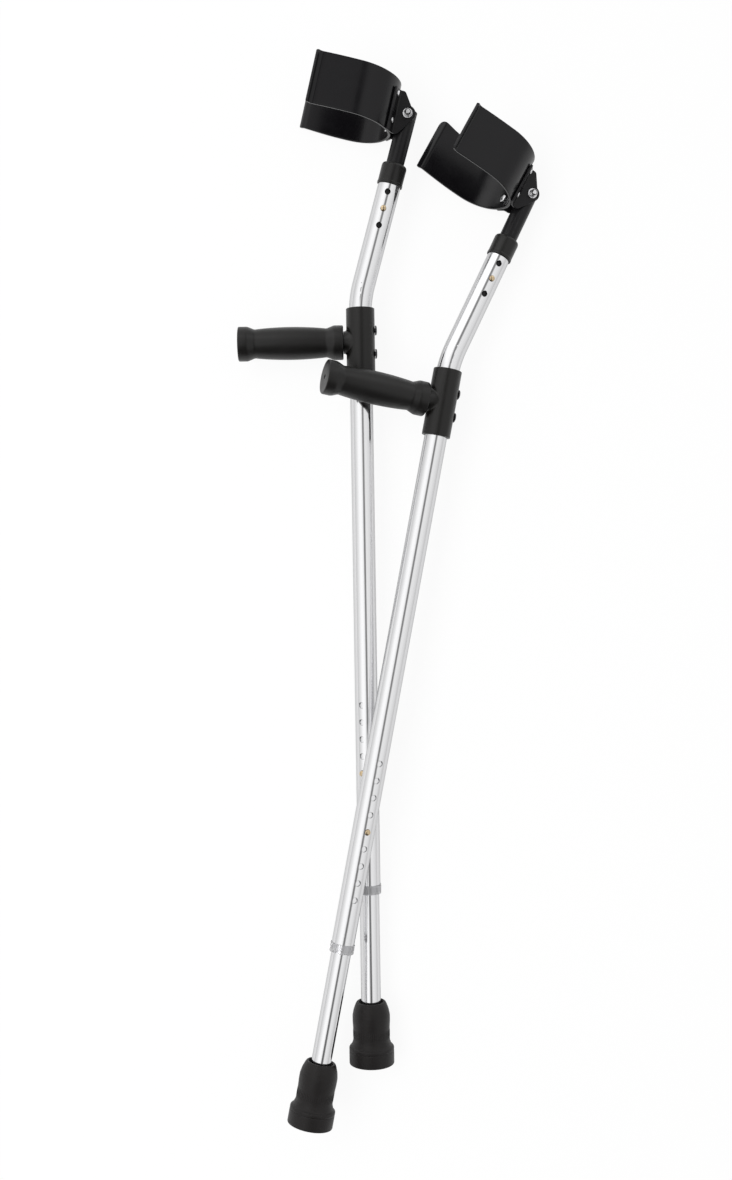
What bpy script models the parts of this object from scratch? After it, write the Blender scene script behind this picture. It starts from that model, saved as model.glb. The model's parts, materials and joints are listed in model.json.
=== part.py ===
"""A pair of forearm crutches, lying crossed on a flat floor.

Each crutch is modelled upright in its own frame: origin at the centre of the tip's
base, +Z up the leg, +X towards the handgrip, +Y to the side that faces up on the floor.
An empty then lays the whole crutch down. The left one lies flat on the floor, and the
right one lies across its leg. Lengths are in metres and angles in radians.
"""

import math
from dataclasses import dataclass

import bmesh
import bpy
from mathutils import Matrix, Vector

MM = 0.001

# Surfaces
SHARP_ANGLE = math.radians(35.0)
MERGE_DISTANCE = 0.001 * MM
DOME_STEPS = 2

# Clearances
SEAT_GAP = 0.35 * MM
SLIDE_GAP = 0.4 * MM
CROSSING_GAP = 0.4 * MM

# Main tube, bent just above the handle
MAIN_OD = 25.4 * MM
MAIN_WALL = 1.2 * MM
MAIN_FOOT = 196.6 * MM
BEND_ABOVE_HANDLE = 48.0 * MM
BEND_ANGLE = math.radians(15.5)
BEND_RADIUS = 125.0 * MM
BEND_STEPS = 4
FOREARM_LENGTH = 149.4 * MM
TUBE_SIDES = 24

# Leg tube, telescoping in the main tube
LEG_WALL = 1.4 * MM
LEG_OVER_HOLES = 14.5 * MM

# Snap buttons and the holes they click into
HOLE_RADIUS = 3.3 * MM
HOLE_SIDES = 10
WASHER_SIDES = 12
HOLE_PITCH = 19.05 * MM
LEG_HOLES = 9
LEG_FIRST_HOLE = 405.5 * MM
POST_HOLES = 3
POST_HOLE_DEPTH = 29.0 * MM
BUTTON_GAP = 0.3 * MM
BUTTON_PROUD = 2.4 * MM
BUTTON_DOME = 1.1 * MM

# Leaf springs behind the buttons
LEAF_THICKNESS = 0.7 * MM
LEAF_WIDTH = 6.0 * MM
LEAF_SEAT = 6.0 * MM
LEAF_LENGTH = 34.0 * MM
LEAF_FOLD = 2.4 * MM
LEAF_FOLD_STEPS = 5

# Rubber tip
TIP_BASE_RADIUS = 25.3 * MM
TIP_BASE_HEIGHT = 19.0 * MM
TIP_WAIST_RADIUS = 20.2 * MM
TIP_WAIST_LOW = 31.0 * MM
TIP_WAIST_HIGH = 38.0 * MM
TIP_BULGE_RADIUS = 21.2 * MM
TIP_BULGE_HEIGHT = 52.0 * MM
TIP_SHOULDER_RADIUS = 19.8 * MM
TIP_SHOULDER_HEIGHT = 61.5 * MM
TIP_RIM_RADIUS = 17.4 * MM
TIP_HEIGHT = 70.0 * MM
TIP_FLOOR = 12.0 * MM
TIP_MOUTH = 2.2 * MM
TIP_EDGE = 1.4 * MM
TREAD_RADIUS = 11.0 * MM
TREAD_WIDTH = 3.0 * MM
TREAD_DEPTH = 1.2 * MM
WASHER_THICKNESS = 1.5 * MM

# Collar ring at the foot of the main tube
RING_WALL = 0.8 * MM
RING_HEIGHT = 10.0 * MM
RING_LIP = 3.4 * MM
RING_EDGE = 0.5 * MM

# Handle bracket: a sleeve round the tube and a peg for the grip
SLEEVE_WALL = 2.85 * MM
SLEEVE_HEIGHT = 75.0 * MM
SLEEVE_EDGE = 0.8 * MM
HANDLE_HEIGHT = 810.5 * MM
NECK_RADIUS = 13.0 * MM
NECK_FLARE = 0.9 * MM
NECK_ROOT = 4.0 * MM
NECK_BLEND = 3.4 * MM
PEG_RADIUS = 9.5 * MM
PEG_INSET = 5.0 * MM
SCREW_RADIUS = 2.5 * MM
SCREW_SPACING = 26.0 * MM
SCREW_HEAD_RADIUS = 5.4 * MM
SCREW_HEAD_HEIGHT = 2.2 * MM
SCREW_RIM = 1.0 * MM
SCREW_LENGTH = 9.0 * MM

# Handgrip
GRIP_START = 19.4 * MM
GRIP_LENGTH = 117.2 * MM
GRIP_FLANGE_RADIUS = 19.2 * MM
GRIP_FLANGE_WIDTH = 10.5 * MM
GRIP_BEVEL = 8.0 * MM
GRIP_WAIST_RADIUS = 15.9 * MM
GRIP_BELLY_RADIUS = 18.2 * MM
GRIP_EDGE = 1.2 * MM
GRIP_END_WALL = 3.5 * MM
GRIP_VENT_RADIUS = 2.0 * MM
GRIP_BELLY_STEPS = 5
GRIP_BELLY_FULLNESS = 0.8

# Cuff post and the collar it slides in
POST_OD = 20.0 * MM
POST_WALL = 1.5 * MM
POST_IN_TUBE = 93.4 * MM
POST_OVER_PIVOT = 4.6 * MM
COLLAR_WALL = 1.25 * MM
COLLAR_HEIGHT = 23.6 * MM
COLLAR_TOP = 3.6 * MM
COLLAR_CHAMFER = 1.2 * MM
PLUG_HEAD = 2.5 * MM
PLUG_SKIRT = 1.5 * MM

# Forearm cuff
CUFF_HALF_WIDTH = 45.0 * MM
CUFF_WALL = 3.0 * MM
CUFF_LOW = -24.5 * MM
CUFF_HIGH = 33.0 * MM
CUFF_BACK = 14.0 * MM
CUFF_NEAR_FRONT = 108.5 * MM
CUFF_FAR_FRONT = 118.5 * MM
CUFF_ARC_STEPS = 20
LIP_RADIUS = 7.0 * MM
LIP_TURN = math.radians(58.0)
LIP_STEPS = 4
LIP_FLAT = 2.5 * MM
LIP_CORNER = 11.0 * MM
LIP_SQUARE = 1.5 * MM

# Cuff bracket: two bent plates, four rivets and the pivot bolt
PIVOT_ABOVE_TUBE = 59.4 * MM
PLATE_THICKNESS = 2.5 * MM
PLATE_LOW = -24.6 * MM
PLATE_HIGH = 23.2 * MM
PLATE_NOSE = 8.8 * MM
PLATE_SHOULDER = 4.0 * MM
PLATE_SHOULDER_BACK = 5.5 * MM
PLATE_HEEL = 4.0 * MM
PLATE_HEEL_BACK = 4.8 * MM
PLATE_ROUND_STEPS = 3
SHOULDER_END = math.radians(147.0)
NOSE_START = math.radians(106.0)
NOSE_END = math.radians(213.0)
PLATE_BEND = 3.0 * MM
FLANGE_HALF = 6.6 * MM
RIVET_ANGLE = math.radians(22.0)
RIVET_SPACING = 30.0 * MM
RIVET_MIDDLE = 2.5 * MM
RIVET_RADIUS = 2.0 * MM
RIVET_DOME_RADIUS = 4.5 * MM
RIVET_DOME_HEIGHT = 2.0 * MM
RIVET_TAIL_RADIUS = 3.1 * MM
RIVET_TAIL_HEIGHT = 1.2 * MM
BOLT_RADIUS = 2.5 * MM
BOLT_HEAD_RADIUS = 5.2 * MM
BOLT_HEAD_HEIGHT = 3.0 * MM
BOLT_RIM = 1.0 * MM
BOLT_END = 1.2 * MM
WASHER_RADIUS = 5.4 * MM
PIVOT_WASHER = 1.0 * MM
NUT_RADIUS = 4.6 * MM
NUT_TOP_RADIUS = 3.9 * MM
NUT_HEIGHT = 4.6 * MM
NUT_BEVEL = 1.5 * MM
NUT_SIDES = 6

# Sizes that follow from the ones above
MAIN_RADIUS = MAIN_OD / 2
MAIN_BORE = MAIN_RADIUS - MAIN_WALL
LEG_RADIUS = MAIN_BORE - SLIDE_GAP
LEG_BORE = LEG_RADIUS - LEG_WALL
POST_RADIUS = POST_OD / 2
POST_BORE = POST_RADIUS - POST_WALL
BUTTON_RADIUS = HOLE_RADIUS - BUTTON_GAP
BEND_HEIGHT = HANDLE_HEIGHT + BEND_ABOVE_HANDLE
LEG_TOP = LEG_FIRST_HOLE + LEG_OVER_HOLES
LEG_BUTTON_HEIGHT = LEG_FIRST_HOLE - (LEG_HOLES // 2) * HOLE_PITCH
POST_FOOT = FOREARM_LENGTH - POST_IN_TUBE
POST_FIRST_HOLE = FOREARM_LENGTH - POST_HOLE_DEPTH
POST_BUTTON_HEIGHT = POST_FIRST_HOLE - (POST_HOLES // 2) * HOLE_PITCH
PIVOT_HEIGHT = FOREARM_LENGTH + PIVOT_ABOVE_TUBE
SLEEVE_BORE = MAIN_RADIUS + SEAT_GAP
SLEEVE_RADIUS = SLEEVE_BORE + SLEEVE_WALL
PLATE_INNER = POST_RADIUS + SEAT_GAP
PLATE_OUTER = PLATE_INNER + PLATE_THICKNESS
CUFF_CENTRE = CUFF_BACK + CUFF_HALF_WIDTH

QUARTER = 0.5 * math.pi


@dataclass(frozen=True)
class Crutch:
    """How one crutch of the pair lies, and how its tubes are drilled."""

    name: str
    foot: tuple
    lean: float
    roll: float
    leg_hole_turn: float
    post_hole_turn: float
    cuff_tilt: float


FOOT_SPREAD = 68.8 * MM
FOOT_STAGGER = 55.8 * MM
LEFT = Crutch(
    name="left",
    foot=(0.0, 0.0),
    lean=math.radians(-0.9),
    roll=0.0,
    leg_hole_turn=math.radians(27.0),
    post_hole_turn=math.radians(-1.5),
    cuff_tilt=math.radians(2.0),
)
RIGHT = Crutch(
    name="right",
    foot=(-FOOT_SPREAD, -FOOT_STAGGER),
    lean=math.radians(10.4),
    roll=math.radians(16.0),
    leg_hole_turn=math.radians(-4.0),
    post_hole_turn=0.0,
    cuff_tilt=math.radians(-3.0),
)
SLOPE_LIMIT = math.radians(6.0)
SLOPE_ROUNDS = 40


# Scene helpers


def clear_scene():
    """Remove every object that the file opened with."""
    for old in list(bpy.data.objects):
        bpy.data.objects.remove(old, do_unlink=True)


def make_material(name, colour, roughness, metallic):
    """A Principled material with one colour."""
    material = bpy.data.materials.new(name)
    material.use_nodes = True
    shader = material.node_tree.nodes["Principled BSDF"]
    shader.inputs["Base Color"].default_value = (*colour, 1.0)
    shader.inputs["Roughness"].default_value = roughness
    shader.inputs["Metallic"].default_value = metallic
    material.diffuse_color = (*colour, 1.0)
    return material


def make_materials():
    """All materials of the pair, by name."""
    return {
        "aluminium": make_material("polished_aluminium", (0.86, 0.86, 0.87), 0.16, 1.0),
        "black_coat": make_material("black_coated_metal", (0.022, 0.021, 0.022), 0.42, 0.0),
        "black_plastic": make_material("black_plastic", (0.018, 0.017, 0.018), 0.38, 0.0),
        "soft_grip": make_material("black_soft_grip", (0.024, 0.022, 0.020), 0.55, 0.0),
        "rubber": make_material("black_rubber", (0.030, 0.028, 0.026), 0.70, 0.0),
        "grey_plastic": make_material("grey_plastic", (0.42, 0.43, 0.44), 0.45, 0.0),
        "brass": make_material("brass", (0.72, 0.52, 0.20), 0.28, 1.0),
        "zinc": make_material("bright_zinc", (0.72, 0.72, 0.74), 0.25, 1.0),
        "dark_steel": make_material("dark_steel", (0.06, 0.06, 0.065), 0.35, 1.0),
        "spring_steel": make_material("spring_steel", (0.45, 0.45, 0.47), 0.30, 1.0),
    }


def make_empty(name, parent=None, place=None):
    """An empty that carries other objects."""
    empty = bpy.data.objects.new(name, None)
    bpy.context.collection.objects.link(empty)
    empty.parent = parent
    if place is not None:
        empty.matrix_basis = place
    return empty


def make_object(name, bm, material, parent, place=None):
    """Turn a bmesh into a named object with one material."""
    bmesh.ops.recalc_face_normals(bm, faces=bm.faces)
    mesh = bpy.data.meshes.new(name)
    bm.to_mesh(mesh)
    bm.free()
    mesh.shade_smooth()
    mesh.set_sharp_from_angle(angle=SHARP_ANGLE)
    if material is not None:
        mesh.materials.append(material)
    item = bpy.data.objects.new(name, mesh)
    bpy.context.collection.objects.link(item)
    item.parent = parent
    if place is not None:
        item.matrix_basis = place
    return item


def combine(target, tool, operation="DIFFERENCE"):
    """Add a Boolean to target, and keep its tool out of the finished model."""
    tool.hide_render = True
    tool.display_type = "WIRE"
    modifier = target.modifiers.new(tool.name, "BOOLEAN")
    modifier.operation = operation
    modifier.object = tool


# Shapes


def turned(profile, sides, ring=False):
    """Spin a (radius, height) profile round Z; a ring's profile closes on itself."""
    bm = bmesh.new()
    points = [bm.verts.new((radius, 0.0, height)) for radius, height in profile]
    edges = [bm.edges.new(pair) for pair in zip(points, points[1:])]
    if ring:
        edges.append(bm.edges.new((points[-1], points[0])))
    bmesh.ops.spin(
        bm,
        geom=points + edges,
        cent=(0.0, 0.0, 0.0),
        axis=(0.0, 0.0, 1.0),
        angle=2 * math.pi,
        steps=sides,
        use_merge=True,
    )
    bmesh.ops.remove_doubles(bm, verts=bm.verts, dist=MERGE_DISTANCE)
    return bm


def washer_profile(inner, outer, low, high):
    """The square cross-section of a plain washer or tube."""
    return [(outer, low), (outer, high), (inner, high), (inner, low)]


def rod_profile(radius, low, high):
    """The profile of a plain round bar."""
    return [(0.0, low), (radius, low), (radius, high), (0.0, high)]


def dome(radius, base, height):
    """Profile points of a domed head, from its rim to its crown on the axis."""
    points = []
    for step in range(DOME_STEPS + 1):
        angle = QUARTER * step / DOME_STEPS
        points.append((radius * math.cos(angle), base + height * math.sin(angle)))
    return points


def skin(bm, rows, closed):
    """Join each closed row of points to the next with quads."""
    pairs = list(zip(rows, rows[1:]))
    if closed:
        pairs.append((rows[-1], rows[0]))
    for first, second in pairs:
        for index, corner in enumerate(first):
            after = (index + 1) % len(first)
            bm.faces.new((corner, first[after], second[after], second[index]))


def swept_tube(stations, outer, inner, sides):
    """An open-ended round tube through a list of frames."""
    bm = bmesh.new()
    rows = []
    for radius, frames in ((outer, stations), (inner, stations[::-1])):
        for frame in frames:
            row = []
            for step in range(sides):
                angle = 2 * math.pi * step / sides
                point = Vector((radius * math.cos(angle), radius * math.sin(angle), 0.0))
                row.append(bm.verts.new(frame @ point))
            rows.append(row)
    skin(bm, rows, closed=True)
    return bm


def ribbon_outline(path, thickness):
    """The closed outline of a strip of even thickness along a flat path."""
    left, right = [], []
    for index, point in enumerate(path):
        before = path[max(index - 1, 0)]
        after = path[min(index + 1, len(path) - 1)]
        come = (point - before) if index else (after - point)
        leave = (after - point) if index < len(path) - 1 else (point - before)
        come.normalize()
        leave.normalize()
        mitre = Vector((-(come.y + leave.y), come.x + leave.x)).normalized()
        reach = thickness / 2 / mitre.dot(Vector((-come.y, come.x)))
        left.append(point + mitre * reach)
        right.append(point - mitre * reach)
    return left, right


def extruded(outline, low, high, place=None):
    """Extrude a flat outline from low to high along Z."""
    bm = bmesh.new()
    corners = [bm.verts.new((point[0], point[1], low)) for point in outline]
    face = bm.faces.new(corners)
    top = bmesh.ops.extrude_face_region(bm, geom=[face])["geom"]
    lifted = [item for item in top if isinstance(item, bmesh.types.BMVert)]
    bmesh.ops.translate(bm, verts=lifted, vec=(0.0, 0.0, high - low))
    if place is not None:
        bm.transform(place)
    return bm


def radial_place(height, turn):
    """A frame on the tube's axis whose Z points out through a hole."""
    spin = Matrix.Rotation(-turn, 4, "Z") @ Matrix.Rotation(-QUARTER, 4, "X")
    return Matrix.Translation((0.0, 0.0, height)) @ spin


def drills(name, parent, places, radius, start, end, sides=HOLE_SIDES):
    """One cutter of several round bars, each along Z of its own frame."""
    bm = bmesh.new()
    for place in places:
        middle = Matrix.Translation((0.0, 0.0, (start + end) / 2))
        bmesh.ops.create_cone(
            bm,
            cap_ends=True,
            segments=sides,
            radius1=radius,
            radius2=radius,
            depth=end - start,
            matrix=place @ middle,
        )
    return make_object(name, bm, None, parent)


def arc_points(centre, radius, start, end, steps):
    """Points on a flat arc, both ends included."""
    points = []
    for step in range(steps + 1):
        angle = start + (end - start) * step / steps
        offset = Vector((math.cos(angle), math.sin(angle))) * radius
        points.append(Vector(centre) + offset)
    return points


# Lower half of a crutch


def leaf_seat(bore):
    """How far out a leaf's outer face may lie in a round bore."""
    return math.sqrt((bore - SEAT_GAP) ** 2 - (LEAF_WIDTH / 2) ** 2)


def build_button(name, parent, bore, outer, height, turn, material):
    """A round snap button with a domed end, standing on its leaf spring."""
    foot = leaf_seat(bore) + SEAT_GAP
    crown = outer + BUTTON_PROUD
    profile = [(0.0, foot), (BUTTON_RADIUS, foot)]
    profile += dome(BUTTON_RADIUS, crown - BUTTON_DOME, BUTTON_DOME)
    bm = turned(profile, HOLE_SIDES)
    return make_object(name, bm, material, parent, radial_place(height, turn))


def build_leaf(name, parent, bore, height, turn, material):
    """A V-shaped leaf spring, open end at the button and fold below it."""
    seat = leaf_seat(bore) - LEAF_THICKNESS / 2
    fold = arc_points((LEAF_LENGTH, 0.0), LEAF_FOLD, QUARTER, -QUARTER, LEAF_FOLD_STEPS)
    path = [Vector((-LEAF_SEAT, seat)), Vector((LEAF_SEAT, seat))]
    path += fold
    path += [Vector((LEAF_SEAT, -seat)), Vector((-LEAF_SEAT, -seat))]
    left, right = ribbon_outline(path, LEAF_THICKNESS)
    outline = left + right[::-1]
    # the strip's flat path runs down the tube and out towards the button
    stand = Matrix(((0, 0, 1, 0), (1, 0, 0, 0), (0, 1, 0, 0), (0, 0, 0, 1)))
    bm = extruded(outline, -LEAF_WIDTH / 2, LEAF_WIDTH / 2, stand)
    return make_object(name, bm, material, parent, radial_place(height, turn))


def build_tip(name, parent, material):
    """The rubber tip: flared grooved base, waisted body and a socket for the leg."""
    socket = LEG_RADIUS + SEAT_GAP
    profile = [
        (0.0, 0.0),
        (TREAD_RADIUS, 0.0),
        (TREAD_RADIUS, TREAD_DEPTH),
        (TREAD_RADIUS + TREAD_WIDTH, TREAD_DEPTH),
        (TREAD_RADIUS + TREAD_WIDTH, 0.0),
        (TIP_BASE_RADIUS - TIP_EDGE, 0.0),
        (TIP_BASE_RADIUS, TIP_EDGE),
        (TIP_BASE_RADIUS, TIP_BASE_HEIGHT - TIP_EDGE),
        (TIP_BASE_RADIUS - TIP_EDGE, TIP_BASE_HEIGHT),
        (TIP_WAIST_RADIUS, TIP_WAIST_LOW),
        (TIP_WAIST_RADIUS, TIP_WAIST_HIGH),
        (TIP_BULGE_RADIUS, TIP_BULGE_HEIGHT),
        (TIP_SHOULDER_RADIUS, TIP_SHOULDER_HEIGHT),
        (TIP_RIM_RADIUS, TIP_HEIGHT - TIP_MOUTH),
        (TIP_RIM_RADIUS - TIP_EDGE, TIP_HEIGHT),
        (socket + TIP_MOUTH, TIP_HEIGHT),
        (socket, TIP_HEIGHT - TIP_MOUTH),
        (socket, TIP_FLOOR),
        (0.0, TIP_FLOOR),
    ]
    return make_object(name, turned(profile, TUBE_SIDES), material, parent)


def build_leg(crutch, frame, looks):
    """Everything that slides with the leg tube, and the ring it runs through."""
    side = crutch.name
    place = radial_place(LEG_BUTTON_HEIGHT, crutch.leg_hole_turn)
    washer_low = TIP_FLOOR + SEAT_GAP
    leg_foot = washer_low + WASHER_THICKNESS + SEAT_GAP
    build_tip(f"{side}_tip", frame, looks["rubber"])
    washer = turned(rod_profile(LEG_RADIUS, washer_low, washer_low + WASHER_THICKNESS), WASHER_SIDES)
    make_object(f"{side}_tip_washer", washer, looks["zinc"], frame)
    tube = turned(washer_profile(LEG_BORE, LEG_RADIUS, leg_foot, LEG_TOP), TUBE_SIDES, ring=True)
    leg = make_object(f"{side}_leg_tube", tube, looks["aluminium"], frame)
    cutter = drills(f"{side}_leg_tube_drill", frame, [place], HOLE_RADIUS, LEG_BORE / 2, MAIN_RADIUS)
    combine(leg, cutter)
    height, turn = LEG_BUTTON_HEIGHT, crutch.leg_hole_turn
    build_button(
        f"{side}_leg_button", frame, LEG_BORE, MAIN_RADIUS, height, turn, looks["brass"]
    )
    build_leaf(f"{side}_leg_spring", frame, LEG_BORE, height, turn, looks["spring_steel"])
    ring_low = MAIN_FOOT - SEAT_GAP - RING_LIP
    ring_high = ring_low + RING_HEIGHT
    ring_bore = MAIN_RADIUS + SEAT_GAP
    ring_radius = ring_bore + RING_WALL
    profile = [
        (ring_radius - RING_EDGE, ring_low),
        (ring_radius, ring_low + RING_EDGE),
        (ring_radius, ring_high - RING_EDGE / 2),
        (ring_radius - RING_EDGE / 2, ring_high),
        (ring_bore, ring_high),
        (ring_bore, ring_low + RING_LIP),
        (LEG_RADIUS + SEAT_GAP, ring_low + RING_LIP),
        (LEG_RADIUS + SEAT_GAP, ring_low),
    ]
    ring = turned(profile, TUBE_SIDES, ring=True)
    make_object(f"{side}_leg_collar", ring, looks["grey_plastic"], frame)


# Main tube and handle


def build_main_tube(crutch, frame, looks):
    """The bent tube, with its row of leg holes and its three post holes."""
    side = crutch.name
    reach = BEND_RADIUS * math.tan(BEND_ANGLE / 2)
    stations = [Matrix.Translation((0.0, 0.0, MAIN_FOOT))]
    for step in range(BEND_STEPS + 1):
        angle = BEND_ANGLE * step / BEND_STEPS
        across = -BEND_RADIUS * (1 - math.cos(angle))
        along = BEND_HEIGHT - reach + BEND_RADIUS * math.sin(angle)
        turn = Matrix.Rotation(-angle, 4, "Y")
        stations.append(Matrix.Translation((across, 0.0, along)) @ turn)
    forearm = forearm_place()
    stations.append(forearm @ Matrix.Translation((0.0, 0.0, FOREARM_LENGTH)))
    bm = swept_tube(stations, MAIN_RADIUS, MAIN_BORE, TUBE_SIDES)
    tube = make_object(f"{side}_main_tube", bm, looks["aluminium"], frame)
    places = []
    for index in range(LEG_HOLES):
        height = LEG_FIRST_HOLE - index * HOLE_PITCH
        places.append(radial_place(height, crutch.leg_hole_turn))
    for index in range(POST_HOLES):
        height = POST_FIRST_HOLE - index * HOLE_PITCH
        places.append(forearm @ radial_place(height, crutch.post_hole_turn))
    span = (MAIN_BORE / 2, 2 * MAIN_RADIUS)
    combine(tube, drills(f"{side}_snap_hole_drill", frame, places, HOLE_RADIUS, *span))
    screws = screw_places()
    radius = SCREW_RADIUS + SEAT_GAP
    cutter = drills(f"{side}_tube_screw_drill", frame, screws, radius, -MAIN_OD, 0.0)
    combine(tube, cutter)


def forearm_place():
    """The frame of the tilted upper length: origin at the bend, Z up the tube."""
    return Matrix.Translation((0.0, 0.0, BEND_HEIGHT)) @ Matrix.Rotation(-BEND_ANGLE, 4, "Y")


def handle_place(height, sides):
    """A frame across the tube, Z towards the grip, turned by half a facet."""
    aim = Matrix.Rotation(QUARTER, 4, "Y") @ Matrix.Rotation(math.pi / sides, 4, "Z")
    return Matrix.Translation((0.0, 0.0, height)) @ aim


def screw_places():
    """Frames of the two handle screws, Z pointing to the grip."""
    steps = (-0.5, 0.5)
    heights = [HANDLE_HEIGHT + step * SCREW_SPACING for step in steps]
    return [handle_place(height, HOLE_SIDES) for height in heights]


def build_handle(crutch, frame, looks):
    """The bracket, its two screws and the grip pushed over the peg."""
    side = crutch.name
    low = HANDLE_HEIGHT - SLEEVE_HEIGHT / 2
    high = HANDLE_HEIGHT + SLEEVE_HEIGHT / 2
    handle = handle_place(HANDLE_HEIGHT, TUBE_SIDES)
    sleeve = [
        (SLEEVE_BORE, low),
        (SLEEVE_RADIUS - SLEEVE_EDGE, low),
        (SLEEVE_RADIUS, low + SLEEVE_EDGE),
        (SLEEVE_RADIUS, high - SLEEVE_EDGE),
        (SLEEVE_RADIUS - SLEEVE_EDGE, high),
        (SLEEVE_BORE, high),
    ]
    bm = turned(sleeve, TUBE_SIDES, ring=True)
    bracket = make_object(f"{side}_handle_bracket", bm, looks["black_plastic"], frame)
    peg_end = GRIP_START + GRIP_LENGTH - GRIP_END_WALL - PEG_INSET
    neck_end = GRIP_START - SEAT_GAP
    peg = [
        (0.0, NECK_ROOT),
        (NECK_RADIUS + NECK_FLARE, NECK_ROOT),
        (NECK_RADIUS + NECK_FLARE, SLEEVE_RADIUS - NECK_BLEND),
        (NECK_RADIUS + NECK_FLARE / 3, SLEEVE_RADIUS - NECK_BLEND / 3),
        (NECK_RADIUS, SLEEVE_RADIUS + NECK_BLEND / 3),
        (NECK_RADIUS, neck_end),
        (PEG_RADIUS, neck_end),
        (PEG_RADIUS, peg_end - SLEEVE_EDGE),
        (PEG_RADIUS - SLEEVE_EDGE, peg_end),
        (0.0, peg_end),
    ]
    peg_body = make_object(f"{side}_peg_form", turned(peg, TUBE_SIDES), None, frame, handle)
    root = turned(rod_profile(SLEEVE_BORE + SLEEVE_WALL / 2, low, high), TUBE_SIDES)
    combine(peg_body, make_object(f"{side}_peg_root", root, None, frame))
    combine(bracket, peg_body, "UNION")
    radius = SCREW_RADIUS + SEAT_GAP
    span = (-SLEEVE_RADIUS - SCREW_HEAD_HEIGHT, 0.0)
    combine(bracket, drills(f"{side}_bracket_drill", frame, screw_places(), radius, *span))
    build_screws(side, frame, looks)
    build_grip(side, frame, handle, looks)


def build_screws(side, frame, looks):
    """Two pan-head screws from the back of the sleeve into the tube's back wall."""
    under = -SLEEVE_RADIUS - SEAT_GAP
    end = under + SCREW_LENGTH
    profile = dome(SCREW_HEAD_RADIUS, under - SCREW_RIM, SCREW_RIM - SCREW_HEAD_HEIGHT)[::-1]
    profile += [
        (SCREW_HEAD_RADIUS, under),
        (SCREW_RADIUS, under),
        (SCREW_RADIUS, end),
        (0.0, end),
    ]
    for place, word in zip(screw_places(), ("lower", "upper")):
        name = f"{side}_handle_screw_{word}"
        make_object(name, turned(profile, HOLE_SIDES), looks["dark_steel"], frame, place)


def build_grip(side, frame, handle, looks):
    """The moulded grip: a flange at each end, two waists and a fuller belly."""
    start, end = GRIP_START, GRIP_START + GRIP_LENGTH
    near_waist = start + GRIP_FLANGE_WIDTH + GRIP_BEVEL
    far_waist = end - GRIP_FLANGE_WIDTH - GRIP_BEVEL
    profile = [
        (GRIP_FLANGE_RADIUS - GRIP_EDGE, start),
        (GRIP_FLANGE_RADIUS, start + GRIP_EDGE),
        (GRIP_FLANGE_RADIUS, start + GRIP_FLANGE_WIDTH),
    ]
    for step in range(GRIP_BELLY_STEPS + 1):
        share = step / GRIP_BELLY_STEPS
        swell = abs(math.sin(math.pi * share)) ** GRIP_BELLY_FULLNESS
        radius = GRIP_WAIST_RADIUS + (GRIP_BELLY_RADIUS - GRIP_WAIST_RADIUS) * swell
        profile.append((radius, near_waist + (far_waist - near_waist) * share))
    bore = PEG_RADIUS + SEAT_GAP
    profile += [
        (GRIP_FLANGE_RADIUS, end - GRIP_FLANGE_WIDTH),
        (GRIP_FLANGE_RADIUS, end - GRIP_EDGE),
        (GRIP_FLANGE_RADIUS - GRIP_EDGE, end),
        (GRIP_VENT_RADIUS, end),
        (GRIP_VENT_RADIUS, end - GRIP_END_WALL),
        (bore, end - GRIP_END_WALL),
        (bore, start),
    ]
    bm = turned(profile, TUBE_SIDES, ring=True)
    make_object(f"{side}_grip", bm, looks["soft_grip"], frame, handle)


# Cuff post


def build_post(crutch, forearm, looks):
    """The post that carries the cuff, its collar, plug, button and spring."""
    side = crutch.name
    height, turn = POST_BUTTON_HEIGHT, crutch.post_hole_turn
    top = PIVOT_HEIGHT + POST_OVER_PIVOT
    tube = turned(washer_profile(POST_BORE, POST_RADIUS, POST_FOOT, top), TUBE_SIDES, ring=True)
    post = make_object(f"{side}_cuff_post", tube, looks["black_coat"], forearm)
    place = radial_place(height, turn)
    cutter = drills(f"{side}_post_drill", forearm, [place], HOLE_RADIUS, POST_BORE / 2, MAIN_RADIUS)
    combine(post, cutter)
    pivot = [radial_place(PIVOT_HEIGHT, 0.0)]
    radius = BOLT_RADIUS + SEAT_GAP
    cutter = drills(f"{side}_post_pivot_drill", forearm, pivot, radius, -POST_OD, POST_OD)
    combine(post, cutter)
    build_button(
        f"{side}_post_button", forearm, POST_BORE, MAIN_RADIUS, height, turn, looks["brass"]
    )
    build_leaf(f"{side}_post_spring", forearm, POST_BORE, height, turn, looks["spring_steel"])
    build_plug(side, forearm, top, looks)
    build_collar(side, forearm, looks)


def build_plug(side, forearm, top, looks):
    """The end plug that closes the top of the post."""
    skirt = POST_BORE - SEAT_GAP
    low = top + SEAT_GAP
    profile = [
        (0.0, low - PLUG_SKIRT),
        (skirt, low - PLUG_SKIRT),
        (skirt, low),
    ]
    profile += dome(POST_RADIUS, low, PLUG_HEAD)
    bm = turned(profile, TUBE_SIDES)
    make_object(f"{side}_post_plug", bm, looks["black_plastic"], forearm)


def build_collar(side, forearm, looks):
    """The moulded collar: a cap over the tube's end and a bush round the post."""
    over = MAIN_RADIUS + SEAT_GAP
    outer = over + COLLAR_WALL
    top = FOREARM_LENGTH + SEAT_GAP + COLLAR_TOP
    low = top - COLLAR_HEIGHT
    bush = MAIN_BORE - SEAT_GAP
    profile = [
        (outer, low),
        (outer, top - COLLAR_CHAMFER),
        (outer - COLLAR_CHAMFER, top),
        (POST_RADIUS + SEAT_GAP, top),
        (POST_RADIUS + SEAT_GAP, low + COLLAR_TOP),
        (bush, low + COLLAR_TOP),
        (bush, FOREARM_LENGTH + SEAT_GAP),
        (over, FOREARM_LENGTH + SEAT_GAP),
        (over, low),
    ]
    bm = turned(profile, TUBE_SIDES, ring=True)
    make_object(f"{side}_post_collar", bm, looks["black_plastic"], forearm)


# Cuff and its bracket


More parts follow.
